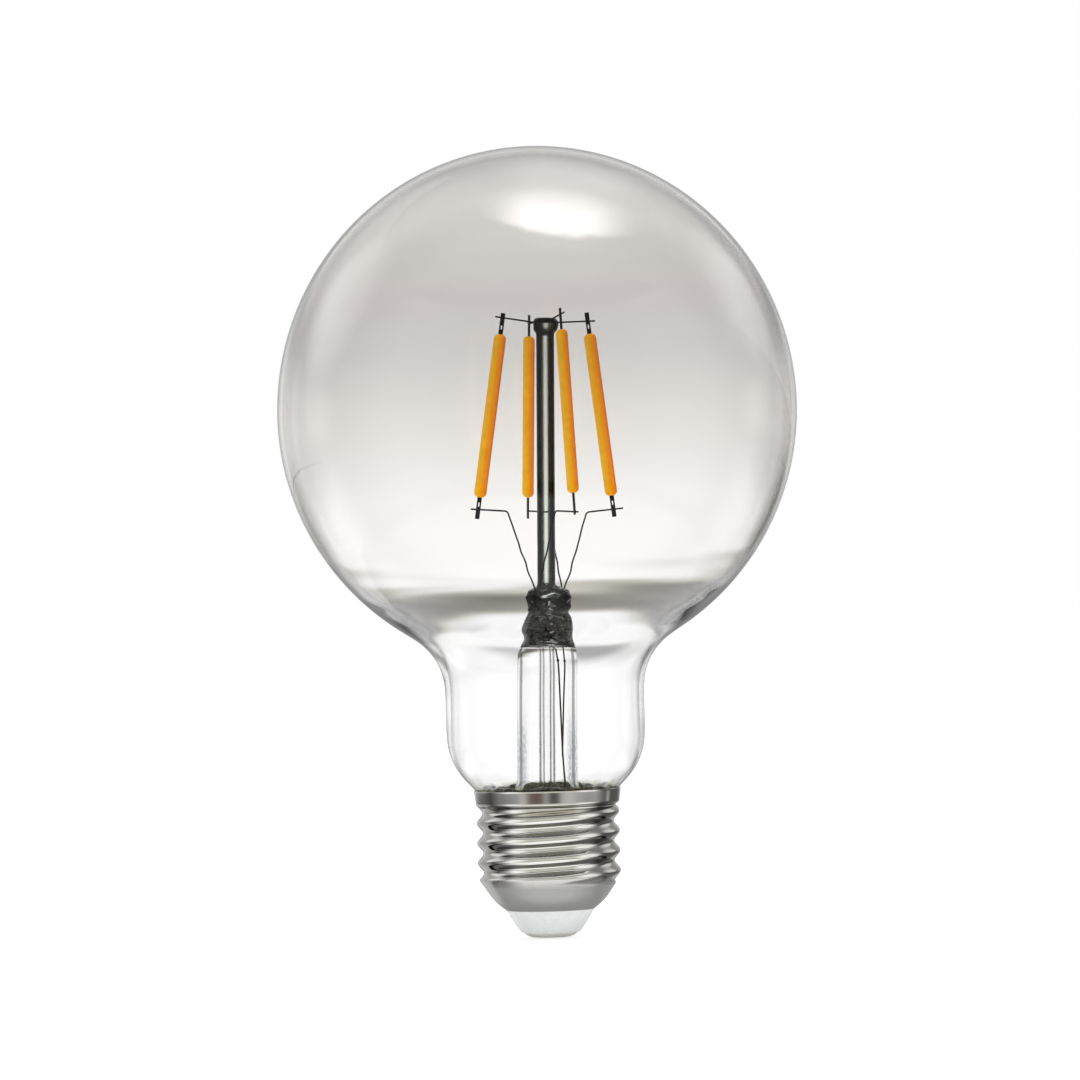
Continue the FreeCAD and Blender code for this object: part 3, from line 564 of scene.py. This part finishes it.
def glass_waves(r, z, a):
    """Waves on the inner skin only: faint level streaks over the lower globe, a few folds at the fillet, and
    a gather that climbs by 1.8 mm towards +X."""
    inner = (np.arange(len(r)) >= skin_points - 1)[:, None]
    streaks = np.sin(1.1 * z + 1.3 * np.sin(2 * a + 0.5)) + 0.7 * np.sin(0.7 * z - 3 * a)
    streaks = (streaks + 0.4 * np.sin(1.9 * z + 4 * a + 1.0)) * np.exp(-((z - 64.0) / 8.0) ** 2)
    folds = np.sin(7 * a + 0.4) + 0.7 * np.sin(11 * a - 0.5 * z) + 0.5 * np.sin(4 * a + 0.9 * z)
    folds = folds * np.exp(-((z - 54.0) / 4.0) ** 2)
    slant = gather_at(z) - gather_at(z - 1.8 * np.cos(a))
    return inner * (slant + ripple_depth * (streaks + folds))


wall_profile = np.vstack((outer_profile, inner_profile[::-1]))
bulb_rings = turned_rings(wall_profile, 240, glass_waves)
bulb_top, bulb_under_top = wall_profile[0, 1], wall_profile[-1, 1]
bulb_skin = mesh_piece("blown_glass", *capped_skin(bulb_rings, (0, 0, bulb_top), (0, 0, bulb_under_top)))
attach(bulb_skin, "root")
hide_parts("glass_bulb")

# %% [markdown]
# ## Smoked glass
# The real globe is clear soda glass with a smoky grey film that is densest over the upper globe and fades out
# below the middle; towards the top of the dome it is painted lighter, as painted light from overhead. The tint
# is a ramp along the height, and the glass itself is a clear dielectric. Lamp light passes straight through it,
# so that what is inside is lit without noise.

# %% Smoked glass
def clear_to_lamps(tree, glass, tint):
    """The glass for the eye, and for lamp light and soft light a filter of the root of its tint a skin."""
    path = add(tree, "ShaderNodeLightPath")
    passing = add(tree, "ShaderNodeMath", path.outputs["Is Shadow Ray"], path.outputs["Is Diffuse Ray"],
                  operation="MAXIMUM")
    clear = add(tree, "ShaderNodeBsdfTransparent", add(tree, "ShaderNodeGamma", tint, 0.5))
    return add(tree, "ShaderNodeMixShader", passing, glass, clear)


smoked_glass, tree = finish_named("smoked_soda_glass")
place = add(tree, "ShaderNodeTexCoord").outputs["Object"]
height = add(tree, "ShaderNodeSeparateXYZ", place).outputs["Z"]
film_place = add(tree, "ShaderNodeMapRange", height, 0.060, 0.145, 0.0, 1.0)
# Painted light: above its densest band the film turns lighter again towards the top of the dome.
film_and_painted_top_light = add(tree, "ShaderNodeValToRGB", film_place, stops=[
    (0.00, linear("#FFFFFF")), (0.105, linear("#FCFBF9")), (0.17, linear("#FBFAF8")),
    (0.233, linear("#F9F8F6")), (0.298, linear("#F4F3F1")), (0.422, linear("#EDEBE9")),
    (0.555, linear("#E2E1DF")), (0.664, linear("#E0DDDC")), (0.771, linear("#E4E2DF")),
    (0.846, linear("#EBE9E6")), (0.92, linear("#F0EEEC")), (1.0, linear("#F0EEEC"))])
# The seal with the stem is olive where the flame has worked it, with a ragged upper edge of 4 mm grain.
ragged = add(tree, "ShaderNodeTexNoise", in_Vector=place, in_Scale=1 / (3.85 * MM), in_Detail=3.0)
ragged_height = add(tree, "ShaderNodeMath", ragged.outputs["Fac"], 0.0022, height, operation="MULTIPLY_ADD")
sealed = add(tree, "ShaderNodeMapRange", ragged_height, 0.0284, 0.0292, 1.0, 0.0)
worked = add(tree, "ShaderNodeMixRGB", sealed, film_and_painted_top_light, linear("#BDBDAA"))
# Painted shade round the rim: the film is darkened where the glass is seen at a low angle. A little of that is
# real, as light at a low angle goes further through film and glass, and the rest stands for the dark room seen
# there.
turned_away = add(tree, "ShaderNodeLayerWeight", 0.5).outputs["Facing"]
painted_rim_shade = add(tree, "ShaderNodeValToRGB", turned_away, stops=[
    (0.0, grey(1.0)), (0.60, grey(1.0)), (0.70, grey(0.97)), (0.76, grey(0.82)), (0.82, grey(0.58)),
    (0.88, grey(0.36)), (0.94, grey(0.20)), (1.0, grey(0.15))])
smoke_and_rim_shade = add(tree, "ShaderNodeMixRGB", 1.0, worked, painted_rim_shade, blend_type="MULTIPLY")
glass = add(tree, "ShaderNodeBsdfPrincipled", in_Base_Color=smoke_and_rim_shade, in_Roughness=0.0, in_IOR=1.5,
            in_Transmission_Weight=1.0, in_Specular_Tint=grey(0.45))
add(tree, "ShaderNodeOutputMaterial", in_Surface=clear_to_lamps(tree, glass, smoke_and_rim_shade))
bulb_skin.data.materials.append(smoked_glass)
print("nodes in the smoked glass:", len(tree.nodes))

# %% [markdown]
# ## Melted glass stem
# The stem is lead glass: a tube flared at its foot, pinched flat while soft over the wires, with a rod above it
# and a thin exhaust tube inside. The flame has run them into one, so one skin is better than three parts that
# only touch. Its outside goes down from the button, turns in at the flare's rim and comes back up the bore
# and down the exhaust tube.

# %% Outline of the stem
stem_lean = math.radians(1.25)
stem_seat = 25.5
pinch_foot = 50.4
pinch_top = 63.7
tube_radius = 5.55
tube_wall = 0.9
rod_radius = 1.65
button_top = 113.1
exhaust_radius = 1.50
exhaust_tip = 21.4
tip_start = exhaust_tip + 1.45
half_wall = tube_wall / 2
bend_radius = 3.0
bend_x = tube_radius + bend_radius
bend_z = stem_seat + half_wall + bend_radius
rim = 11.45


def straight(start, end, count):
    """Evenly spaced points from start to end, without the last one."""
    return np.linspace(start, end, count, endpoint=False)


roof_foot, roof_rise, roof_radius = 54.0, 2.0, tube_radius - tube_wall
dome_cut = math.acos(exhaust_radius / roof_radius)
stem_outside = np.vstack((
    [[0, button_top]], swept((1.4, button_top - 0.7), 0.7, 0.7, math.pi / 2, 0, 8),
    straight((2.1, button_top - 0.7), (2.1, 111.2), 4), swept((1.5, 111.2), 0.6, 0.9, 0, -1.3, 6),
    straight((rod_radius, 110.2), (rod_radius, pinch_top + 0.5), 90),
    straight((rod_radius, pinch_top + 0.5), (tube_radius, pinch_foot), 90),
    straight((tube_radius, pinch_foot), (tube_radius, bend_z), 40),
    swept((bend_x, bend_z), bend_radius, bend_radius, math.pi, 1.5 * math.pi, 12),
    [[bend_x, stem_seat + half_wall], [rim, stem_seat + half_wall], [rim + 0.04, stem_seat]]))
stem_inside = np.vstack((
    [[rim, stem_seat - half_wall]],
    swept((bend_x, bend_z), bend_radius + tube_wall, bend_radius + tube_wall, 1.5 * math.pi, math.pi, 12),
    straight((roof_radius, bend_z), (roof_radius, roof_foot), 50),
    swept((0, roof_foot), roof_radius, roof_rise, 0, dome_cut, 20),
    straight((exhaust_radius, roof_foot + roof_rise * math.sin(dome_cut)), (exhaust_radius, tip_start), 60),
    swept((0, tip_start), exhaust_radius, tip_start - exhaust_tip, 0, -math.pi / 2, 8), [[0, exhaust_tip]]))
print("stem outline points:", len(stem_outside), len(stem_inside))

# %% [markdown]
# ## Pinch and melted lumps
# The press squeezes the hot tube flat over the wires and leaves it lumpy. Sculpting would need a hand for each
# lump; instead the pinch is a row of ellipses up its height, and a few slow sines stand for the lumps.

# %% Pinch and melted lumps
pinch_heights = (50.4, 52.0, 53.3, 55.0, 56.2, 57.5, 58.6, 59.8, 61.4, 62.3, 62.8, 63.1, 63.3, 63.7)
pinch_half_x = (5.55, 5.52, 5.42, 5.05, 4.45, 3.90, 3.78, 3.92, 4.14, 3.95, 3.45, 2.70, 1.95, 1.65)
pinch_half_y = (5.55, 5.50, 5.38, 5.00, 4.30, 3.45, 3.05, 3.00, 3.20, 3.05, 2.75, 2.30, 1.85, 1.65)
pinch_shift = (0.0, 0.05, 0.12, 0.24, 0.34, 0.44, 0.50, 0.50, 0.50, 0.45, 0.38, 0.25, 0.10, 0.0)


def smooth_between(z, heights, values):
    """The values between their heights, eased by a running mean of five neighbours."""
    fine = np.interp(z, heights, values)
    padded = np.concatenate((np.full(2, fine[0]), fine, np.full(2, fine[-1])))
    return np.convolve(padded, np.full(5, 1 / 5), "valid")


def stem_rings(turns):
    """Ring point (shift + half_x cos a, half_y sin a, z). Over the pinch both halves come from its sections,
    and melted lumps of a few slow sines stand out of it; the button has one lump towards +X."""
    profile = np.vstack((stem_outside, stem_inside))[1:-1]
    z = profile[:, 1]
    outer = np.arange(len(z)) < len(stem_outside) - 1
    on_pinch = outer & (z <= 64.2) & (z >= pinch_foot)
    half_x = np.where(on_pinch, smooth_between(z, pinch_heights, pinch_half_x), profile[:, 0])
    half_y = np.where(on_pinch, smooth_between(z, pinch_heights, pinch_half_y), profile[:, 0])
    shift = np.where(on_pinch, smooth_between(z, pinch_heights, pinch_shift), 0.0)
    a = (np.arange(turns) / turns * math.tau)[None, :]
    z = z[:, None]
    lumps = np.sin(4 * a + 1.6 * z) + 0.8 * np.sin(5 * a - 2.1 * z + 0.7) + 0.7 * np.sin(2 * a + 3.4 * z + 2.0)
    lumps = lumps + 0.25 * np.sin(7 * a + 2.9 * z) + 0.2 * np.sin(6 * a - 4.2 * z + 1.0)
    strength = outer[:, None] * 0.14 * np.exp(-((z - 60.5) / 3.0) ** 2) * (z < 63.2)
    button = outer[:, None] * 0.14 * np.exp(-((z - 111.9) / 1.0) ** 2) * (1 + np.sin(2 * a + 0.6) + np.cos(a))
    swell = lumps * strength + button
    x = shift[:, None] + (half_x[:, None] + swell) * np.cos(a)
    y = (half_y[:, None] + swell) * np.sin(a)
    return np.stack((x, y, z + np.zeros(turns)), -1)


print("pinch from and to, mm:", pinch_heights[0], pinch_heights[-1])

# %% [markdown]
# ## Stem piece
# The stem was sealed in a little off the axis, so the whole skin is turned about its seal. The exhaust tube is
# a tube, so its bore is added as a closed hollow inside the same piece.

# %% Stem piece
def leaned(points):
    """Turned by the stem's lean about the line along Y through the middle of its seal."""
    x, y, z = points[:, 0], points[:, 1], points[:, 2] - stem_seat
    c, s = math.cos(stem_lean), math.sin(stem_lean)
    return np.column_stack((x * c + z * s, y, z * c - x * s + stem_seat))


stem_points, stem_faces = capped_skin(stem_rings(96), (0, 0, button_top), (0, 0, exhaust_tip))
# The bore of the exhaust tube is a closed hollow, so its faces look inwards.
bore, bore_foot, bore_top = 0.6, 22.0, 55.9
bore_profile = np.vstack((
    [[0, bore_foot]], swept((0, bore_foot + bore), bore, bore, -math.pi / 2 + 0.2, 0, 6),
    straight((bore, bore_foot + bore), (bore, bore_top - bore), 50),
    swept((0, bore_top - bore), bore, bore, 0, math.pi / 2 - 0.1, 8), [[0, bore_top]]))
bore_points, bore_faces = capped_skin(turned_rings(bore_profile, 32), (0, 0, bore_foot), (0, 0, bore_top))
bore_faces = [[corner + len(stem_points) for corner in face] for face in bore_faces]
melted_stem = mesh_piece("melted_stem", leaned(np.vstack((stem_points, bore_points))), stem_faces + bore_faces)
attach(melted_stem, "root")
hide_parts("stem_tube", "stem_pillar", "exhaust_tube")

# %% [markdown]
# ## Seal bead
# Where the flare and the bulb's sleeve were melted together, a bead of glass runs round. It is a ring round the
# axis, like a torus, but with slow sines of its own, because a plain torus would look turned and not melted.

# %% Seal bead
bead_radius, bead_height, bead_size = 11.1, 26.9, 0.8


def seal_bead(turns, around):
    """A ring closed both ways: point (r cos a, r sin a, z) with r = radius + (size + w) cos t and z = height +
    (size + w) sin t, where w is a few slow sines that make the melted edge ragged."""
    a = (np.arange(turns) / turns * math.tau)[:, None]
    t = (np.arange(around) / around * math.tau)[None, :]
    w = 0.16 * np.sin(7 * a) + 0.12 * np.sin(13 * a + 1.0) * np.cos(t) + 0.08 * np.sin(23 * a + 2.0)
    r = bead_radius + (bead_size + w) * np.cos(t)
    z = bead_height + (bead_size + w) * np.sin(t)
    return np.stack((r * np.cos(a), r * np.sin(a), z), -1)


bead = seal_bead(180, 16)
i = np.arange(180)[:, None] * 16
i_next = (np.arange(1, 181) % 180)[:, None] * 16
k = np.arange(16)[None, :]
k_next = (k + 1) % 16
bead_faces = np.stack((i + k, i_next + k, i_next + k_next, i + k_next), -1).reshape(-1, 4)
seal_ring = mesh_piece("melted_seal", bead.reshape(-1, 3), bead_faces.tolist())
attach(seal_ring, "root")

# %% [markdown]
# ## Stem glass
# The stem is clear lead glass. A solid rod bends so much of the room that it looks black but for a thin line
# along its middle, and at a small scale that is steadier painted by the angle to the eye than drawn with many
# bends of light: painted shade at the sides and a painted light line down the middle, over the rod and the
# pinch.
# Below the pinch it is an open tube, painted darker where its wall is seen edge on, with a mottled blue grey
# near its foot.

# %% Stem glass
stem_glass, tree = finish_named("clear_lead_glass")
place = add(tree, "ShaderNodeTexCoord").outputs["Object"]
height = add(tree, "ShaderNodeSeparateXYZ", place).outputs["Z"]
turned_away = add(tree, "ShaderNodeLayerWeight", 0.5).outputs["Facing"]
# Painted shade and light: the solid rod and the pinch are near black towards their sides and pale where they
# face the eye.
rod_painted_shade = add(tree, "ShaderNodeValToRGB", turned_away, stops=[
    (0.0, linear("#E2E5E1")), (0.014, linear("#B6B9B3")), (0.04, linear("#2A2C26")), (0.30, linear("#10110E")),
    (1.0, linear("#0A0B09"))])
melt_noise = add(tree, "ShaderNodeTexNoise", in_Vector=place, in_Scale=1 / (2.38 * MM), in_Detail=3.0)
melt_height = add(tree, "ShaderNodeMath", melt_noise.outputs["Fac"], 0.003, height, operation="MULTIPLY_ADD")
rod_shade_share = add(tree, "ShaderNodeMapRange", melt_height, 0.0566, 0.0580, 0.0, 1.0,
                  interpolation_type="SMOOTHSTEP")
# The blue grey shows where the wall is seen edge on, in spots of under a millimetre.
mottled = add(tree, "ShaderNodeTexNoise", in_Vector=place, in_Scale=1 / (0.667 * MM), in_Detail=3.0)
mottle_tone = add(tree, "ShaderNodeMapRange", mottled.outputs["Fac"], 0.40, 0.62, 0.35, 1.0)
foot_share = add(tree, "ShaderNodeMapRange", height, 0.034, 0.044, 1.0, 0.0, interpolation_type="SMOOTHSTEP")
edge_share = add(tree, "ShaderNodeMapRange", turned_away, 0.30, 0.5, 0.0, 1.0)
blued_edge = add(tree, "ShaderNodeMixRGB", 1.0, foot_share, edge_share, blend_type="MULTIPLY")
blued = add(tree, "ShaderNodeMixRGB", 1.0, blued_edge, mottle_tone, blend_type="MULTIPLY")
blue_grey_mottle = add(tree, "ShaderNodeMixRGB", blued, linear("#FFFFFF"), linear("#7C868D"))
# Painted shade: the open tube darkens where its wall is seen edge on.
tube_edge_shade = add(tree, "ShaderNodeMapRange", turned_away, 0.66, 0.95, 1.0, 0.30)
tube_tint_and_edge_shade = add(tree, "ShaderNodeMixRGB", 1.0, blue_grey_mottle, tube_edge_shade, blend_type="MULTIPLY")
lead_tint_and_painted_shade = add(tree, "ShaderNodeMixRGB", rod_shade_share, tube_tint_and_edge_shade, rod_painted_shade)
glass = add(tree, "ShaderNodeBsdfPrincipled", in_Base_Color=lead_tint_and_painted_shade, in_Roughness=0.0, in_IOR=1.53,
            in_Transmission_Weight=1.0, in_Specular_Tint=grey(0.3))
add(tree, "ShaderNodeOutputMaterial", in_Surface=clear_to_lamps(tree, glass, linear("#F4F7F6")))
melted_stem.data.materials.append(stem_glass)
print("nodes in the stem glass:", len(tree.nodes))

# %% [markdown]
# ## Seal glass
# The bead is the same lead glass, but the flame and the cement under it have left it olive and cloudy. A little
# roughness blurs what is behind it, and spots of a millimetre or so vary the tone.

# %% Seal glass
seal_glass, tree = finish_named("olive_seal_glass")
place = add(tree, "ShaderNodeTexCoord").outputs["Object"]
spots = add(tree, "ShaderNodeTexNoise", in_Vector=place, in_Scale=1 / (1.43 * MM), in_Detail=4.0)
olive = add(tree, "ShaderNodeValToRGB", spots.outputs["Fac"], stops=[
    (0.35, linear("#77776A")), (0.52, linear("#B5B5A4")), (0.66, linear("#DDDFD3"))])
glass = add(tree, "ShaderNodeBsdfPrincipled", in_Base_Color=olive, in_Roughness=0.16, in_IOR=1.53,
            in_Transmission_Weight=1.0)
add(tree, "ShaderNodeOutputMaterial", in_Surface=clear_to_lamps(tree, glass, linear("#8B8B78")))
seal_ring.data.materials.append(seal_glass)
print("nodes in the seal glass:", len(tree.nodes))

# %% [markdown]
# ## Filaments
# Each filament is a strip of chips under a silicone rubber full of yellow phosphor, a warm amber. Light and
# shade
# across it are painted: it turns a lighter amber where it faces -X and a deeper orange where it faces +X. Read
# from the side that the surface faces, this painted shade stays with the shape.

# %% Filament rubber
phosphor_rubber, tree = finish_named("phosphor_silicone")
facing = add(tree, "ShaderNodeSeparateXYZ", add(tree, "ShaderNodeNewGeometry").outputs["Normal"])
painted_shade_side = add(tree, "ShaderNodeMapRange", facing.outputs["X"], -1.0, 1.0, 0.0, 1.0)
# Painted light and shade: lighter amber where the surface faces -X, deeper orange where it faces +X.
amber = add(tree, "ShaderNodeValToRGB", painted_shade_side, stops=[
    (0.0, linear("#FFC43C")), (0.36, linear("#FFBC08")), (0.54, linear("#FFB000")), (0.72, linear("#F89200")),
    (0.95, linear("#E87200"))])
# Phosphor grains are too fine to show, so their mottle is drawn at about a millimetre.
place = add(tree, "ShaderNodeTexCoord").outputs["Object"]
mottle = add(tree, "ShaderNodeTexNoise", in_Vector=place, in_Scale=1 / (1.111 * MM), in_Detail=3.0)
shade = add(tree, "ShaderNodeMapRange", mottle.outputs["Fac"], 0.3, 0.7, 0.86, 0.99)
amber_with_painted_shade = add(tree, "ShaderNodeVectorMath", amber, in_Scale=shade, operation="SCALE")
pits = add(tree, "ShaderNodeBump", in_Height=mottle.outputs["Fac"], in_Strength=0.25, in_Distance=0.05 * MM)
rubber = add(tree, "ShaderNodeBsdfPrincipled", in_Base_Color=amber_with_painted_shade, in_Roughness=0.60, in_IOR=1.41,
             in_Specular_IOR_Level=0.2, in_Normal=pits)
add(tree, "ShaderNodeOutputMaterial", in_Surface=rubber)
filaments = [f"filament_{n}" for n in range(1, 5)]
give(phosphor_rubber, *filaments)
print("filaments:", len(filaments))

# %% [markdown]
# ## Metals inside the globe
# Tabs are stamped nickel-iron and the hooks are thin nickel wire, both near black, and the two leads are
# copper-clad wire that turns reddish where it is sealed in glass. All three are one metal finish with its own
# colour, whose brightness and roughness wander a little, as drawn and stamped metal does.

# %% Metals inside the globe
def metal(name, colour, roughness, grain, depth, uneven=0.12):
    """A metal whose brightness and roughness wander with a noise of the given grain in millimetres."""
    material, tree = finish_named(name)
    place = add(tree, "ShaderNodeTexCoord").outputs["Object"]
    spots = add(tree, "ShaderNodeTexNoise", in_Vector=place, in_Scale=1 / (grain * MM), in_Detail=4.0)
    fac = spots.outputs["Fac"]
    rough = add(tree, "ShaderNodeMapRange", fac, 0.3, 0.7, roughness * 0.85, roughness * 1.2)
    tone = add(tree, "ShaderNodeMapRange", fac, 0.3, 0.7, 1 - uneven, 1 + uneven / 2)
    paint = add(tree, "ShaderNodeVectorMath", linear(colour)[:3], in_Scale=tone, operation="SCALE")
    bump = add(tree, "ShaderNodeBump", in_Height=fac, in_Strength=0.3, in_Distance=depth * MM)
    skin = add(tree, "ShaderNodeBsdfPrincipled", in_Base_Color=paint, in_Metallic=1.0, in_Roughness=rough,
               in_Normal=bump)
    add(tree, "ShaderNodeOutputMaterial", in_Surface=skin)
    return material


tab_steel = metal("near_black_tab_steel", "#1B1A1A", 0.45, 0.35, 0.01)
hook_wire = metal("near_black_nickel_wire", "#121212", 0.5, 0.3, 0.01)
copper_lead = metal("copper_clad_lead_wire", "#3E211A", 0.40, 0.3, 0.01)
tabs = [f"filament_{n}_{end}_tab" for n in range(1, 5) for end in ("top", "bottom")]
hooks = ["upper_wire_1_to_4", "upper_wire_2_to_3"] + [f"lower_wire_{n}" for n in range(1, 5)]
give(tab_steel, *tabs)
give(hook_wire, *hooks)
give(copper_lead, "lead_wire_left", "lead_wire_right")
print("tabs and hooks:", len(tabs), len(hooks))

# %% [markdown]
# ## Screw cap
# The shell is thin brass sheet rolled to the thread and plated with bright nickel. It is almost a mirror, so
# it needs a skin without facets: one surface of rings, where the thread is a wave that climbs round it. Its
# look comes from the studio; fine roll marks and a slight warmth keep it from looking like glass.

# %% Outline of the shell
cap_height = 27.0
crest_radius, root_radius = 13.1, 12.0
thread_pitch = 3.629
crest_height = 21.0
collar_foot = 24.4
collar_flare = 0.35
runout_foot, runout_full = 8.2, 12.6
eyelet_radius, eyelet_height = 8.0, 5.0
cone_top, cone_bulge = 9.7, 0.45
sheet = 0.3
cone_run = np.array((root_radius - eyelet_radius, cone_top - eyelet_height))
cone_round = (cone_run @ cone_run / 4 + cone_bulge ** 2) / (2 * cone_bulge)
cone_out = np.array((cone_run[1], -cone_run[0])) / np.linalg.norm(cone_run)
cone_centre = np.array((eyelet_radius, eyelet_height)) + cone_run / 2 - cone_out * (cone_round - cone_bulge)
print("cone's curve, mm:", round(float(cone_round), 2), "round", cone_centre.round(2))


def shell_radius(z, a, inset):
    """Radius at height z and angle a, taken in by inset. The cone is an arc, c + sqrt(R^2 - (z - cz)^2). The
    thread lifts the tube by depth (1 + cos p) / 2, where the phase p is a turn for each pitch of height and
    falls by a turn round the cap; it fades in over its foot. The collar flares out to its rim."""
    arc_room = np.clip((cone_round - inset) ** 2 - (z - cone_centre[1]) ** 2, 0, None)
    cone = np.where(z < cone_top + 0.6, cone_centre[0] + np.sqrt(arc_room), 99.0)
    tube = np.minimum(cone, root_radius - inset)
    phase = math.tau * (z - crest_height) / thread_pitch - (a - math.pi)
    wave = root_radius - inset + (crest_radius - root_radius) * (0.5 + 0.5 * np.cos(phase))
    foot = shell_arc_radius(runout_foot, inset)
    limit = foot + (crest_radius - inset + 1.1 - foot) * (z - runout_foot) / (runout_full - runout_foot)
    threaded = np.where(z > runout_foot, np.maximum(tube, np.minimum(wave, limit)), tube)
    collar = crest_radius - inset + collar_flare * (z - collar_foot) / (cap_height - collar_foot)
    step_up = eased(z, collar_foot - 0.5, collar_foot)
    return np.where(z >= collar_foot, collar, threaded + (np.maximum(collar, threaded) - threaded) * step_up)


def shell_arc_radius(z, inset):
    """The cone's radius at one height."""
    return cone_centre[0] + math.sqrt((cone_round - inset) ** 2 - (z - cone_centre[1]) ** 2)


# %% [markdown]
# ## Shell piece
# A real thread is rolled, so none of its bends is sharp. Each ring's radius is a mean over a short bell of
# heights, which rounds every bend alike. The inside follows a sheet's thickness in, and the rings close on
# themselves at both rims, so the piece is a closed sheet and not a solid.

# %% Shell piece
def shell_rows(heights, inset, turns):
    """Rings of the skin at the heights, evened along the height by a short bell, so its bends are rolled."""
    a = np.arange(turns) / turns * math.tau
    shift = np.arange(-4, 5) * 0.07
    bell = np.exp(-0.5 * (shift / 0.14) ** 2)
    z = np.clip(heights[:, None, None] + shift, eyelet_height, cap_height)
    radius = (shell_radius(z, a[None, :, None], inset) * bell / bell.sum()).sum(-1)
    return np.stack((radius * np.cos(a), radius * np.sin(a), heights[:, None] + np.zeros(turns)), -1)


turns = 200
outside_rows = shell_rows(np.linspace(cap_height, eyelet_height, 210), 0.0, turns)
inside_rows = shell_rows(np.linspace(eyelet_height, cap_height, 110), sheet, turns)
rows = np.vstack((outside_rows, inside_rows))
count = len(rows)
i = np.arange(count)[:, None] * turns
i_next = (np.arange(1, count + 1) % count)[:, None] * turns
k = np.arange(turns)[None, :]
k_next = (k + 1) % turns
shell_faces = np.stack((i + k, i_next + k, i_next + k_next, i + k_next), -1).reshape(-1, 4)
rolled_shell = mesh_piece("rolled_shell", rows.reshape(-1, 3), shell_faces.tolist())
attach(rolled_shell, "root")
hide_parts("screw_shell")

# %% [markdown]
# ## Nickel plating
# Bright nickel is a mirror with a slight warmth. Its roll marks are too fine to show, so a 2 mm wander a tenth
# of a micrometre deep stands for them. The room is dark beside the cap, so the plating is painted darker where
# it turns away from the eye, as painted shade. The cone under the thread is painted one even satin grey, a
# painted reflection of the shaded table under the bulb.

# %% Nickel plating
nickel_plate = metal("bright_nickel_plate", "#E6E4DF", 0.02, 2.0, 0.0001, 0.02)
tree = nickel_plate.node_tree
plate = next(node for node in tree.nodes if node.type == "BSDF_PRINCIPLED")
turned_away = add(tree, "ShaderNodeLayerWeight", 0.5).outputs["Facing"]
edge_dark = add(tree, "ShaderNodeMapRange", turned_away, 0.26, 0.38, 1.0, 0.36)
plate_colour = plate.inputs["Base Color"].links[0].from_socket
darkened = add(tree, "ShaderNodeVectorMath", plate_colour, in_Scale=edge_dark, operation="SCALE")
place = add(tree, "ShaderNodeTexCoord").outputs["Object"]
height = add(tree, "ShaderNodeSeparateXYZ", place).outputs["Z"]
# Painted reflection: the cone below the thread is painted an even grey, for the shaded table that it would
# mirror.
painted_cone_share = add(tree, "ShaderNodeMapRange", height, 0.0092, 0.0118, 1.0, 0.0)
plate_with_painted_cone_grey = add(tree, "ShaderNodeMixRGB", painted_cone_share, darkened, linear("#ACACAA"))
plate_roughness = plate.inputs["Roughness"].links[0].from_socket
rougher = add(tree, "ShaderNodeMath", painted_cone_share, 0.28, plate_roughness, operation="MULTIPLY_ADD")
less_mirror = add(tree, "ShaderNodeMath", painted_cone_share, -0.6, 1.0, operation="MULTIPLY_ADD")
tree.links.new(plate_with_painted_cone_grey.outputs[0], plate.inputs["Base Color"])
tree.links.new(rougher.outputs[0], plate.inputs["Roughness"])
tree.links.new(less_mirror.outputs[0], plate.inputs["Metallic"])
rolled_shell.data.materials.append(nickel_plate)
print("nodes in the plating:", len(tree.nodes))

# %% [markdown]
# ## Contact
# The centre contact is brass dipped in solder. Solder that has cooled is matt, so most of its look is diffuse,
# and only a third of it is metal.

# %% Contact
contact_metal = metal("tinned_contact", "#F2F1EC", 0.45, 0.5, 0.02)
solder = next(node for node in contact_metal.node_tree.nodes if node.type == "BSDF_PRINCIPLED")
solder.inputs["Metallic"].default_value = 0.3
give(contact_metal, "centre_contact")
print("contact finish:", contact_metal.name)

# %% [markdown]
# ## Insulator, cement and driver
# The insulator is moulded in white opal glass or plastic, and its surface is half glossy. The cement is a dry,
# matt grey brown. The driver's parts are hidden in the cap: a glass-fibre board, epoxy packages, a capacitor in
# its sleeve, a lacquered resistor and insulated wire. All are plain coloured bodies, so one finish with a faint
# change of tone does for them all.

# %% Insulator, cement and driver
def moulded(name, colour, roughness, grain, ior=1.5):
    """A matt or glossy body with a faint change of tone and a fine bump, grain in millimetres."""
    material, tree = finish_named(name)
    place = add(tree, "ShaderNodeTexCoord").outputs["Object"]
    spots = add(tree, "ShaderNodeTexNoise", in_Vector=place, in_Scale=1 / (grain * MM), in_Detail=5.0)
    tone = add(tree, "ShaderNodeMapRange", spots.outputs["Fac"], 0.3, 0.7, 0.95, 1.03)
    paint = add(tree, "ShaderNodeVectorMath", linear(colour)[:3], in_Scale=tone, operation="SCALE")
    bump = add(tree, "ShaderNodeBump", in_Height=spots.outputs["Fac"], in_Strength=0.2, in_Distance=0.02 * MM)
    body = add(tree, "ShaderNodeBsdfPrincipled", in_Base_Color=paint, in_Roughness=roughness, in_IOR=ior,
               in_Normal=bump)
    add(tree, "ShaderNodeOutputMaterial", in_Surface=body)
    return material


give(moulded("opal_insulator", "#F8FAFA", 0.32, 0.8, 1.52), "insulator")
give(moulded("lamp_cement", "#8C8776", 0.8, 0.3), "base_cement")
give(moulded("glass_fibre_board", "#E9E6D6", 0.5, 0.4), "driver_board")
give(moulded("black_epoxy_package", "#232325", 0.5, 0.2), "driver_chip", "bridge_rectifier")
give(moulded("capacitor_sleeve", "#1E2A44", 0.35, 0.6), "smoothing_capacitor")
give(moulded("resistor_lacquer", "#3F7A5A", 0.4, 0.3), "fusible_resistor")
give(moulded("insulated_wire", "#D8D4CC", 0.45, 0.3), "live_wire", "neutral_wire")
print("materials:", len(bpy.data.materials))
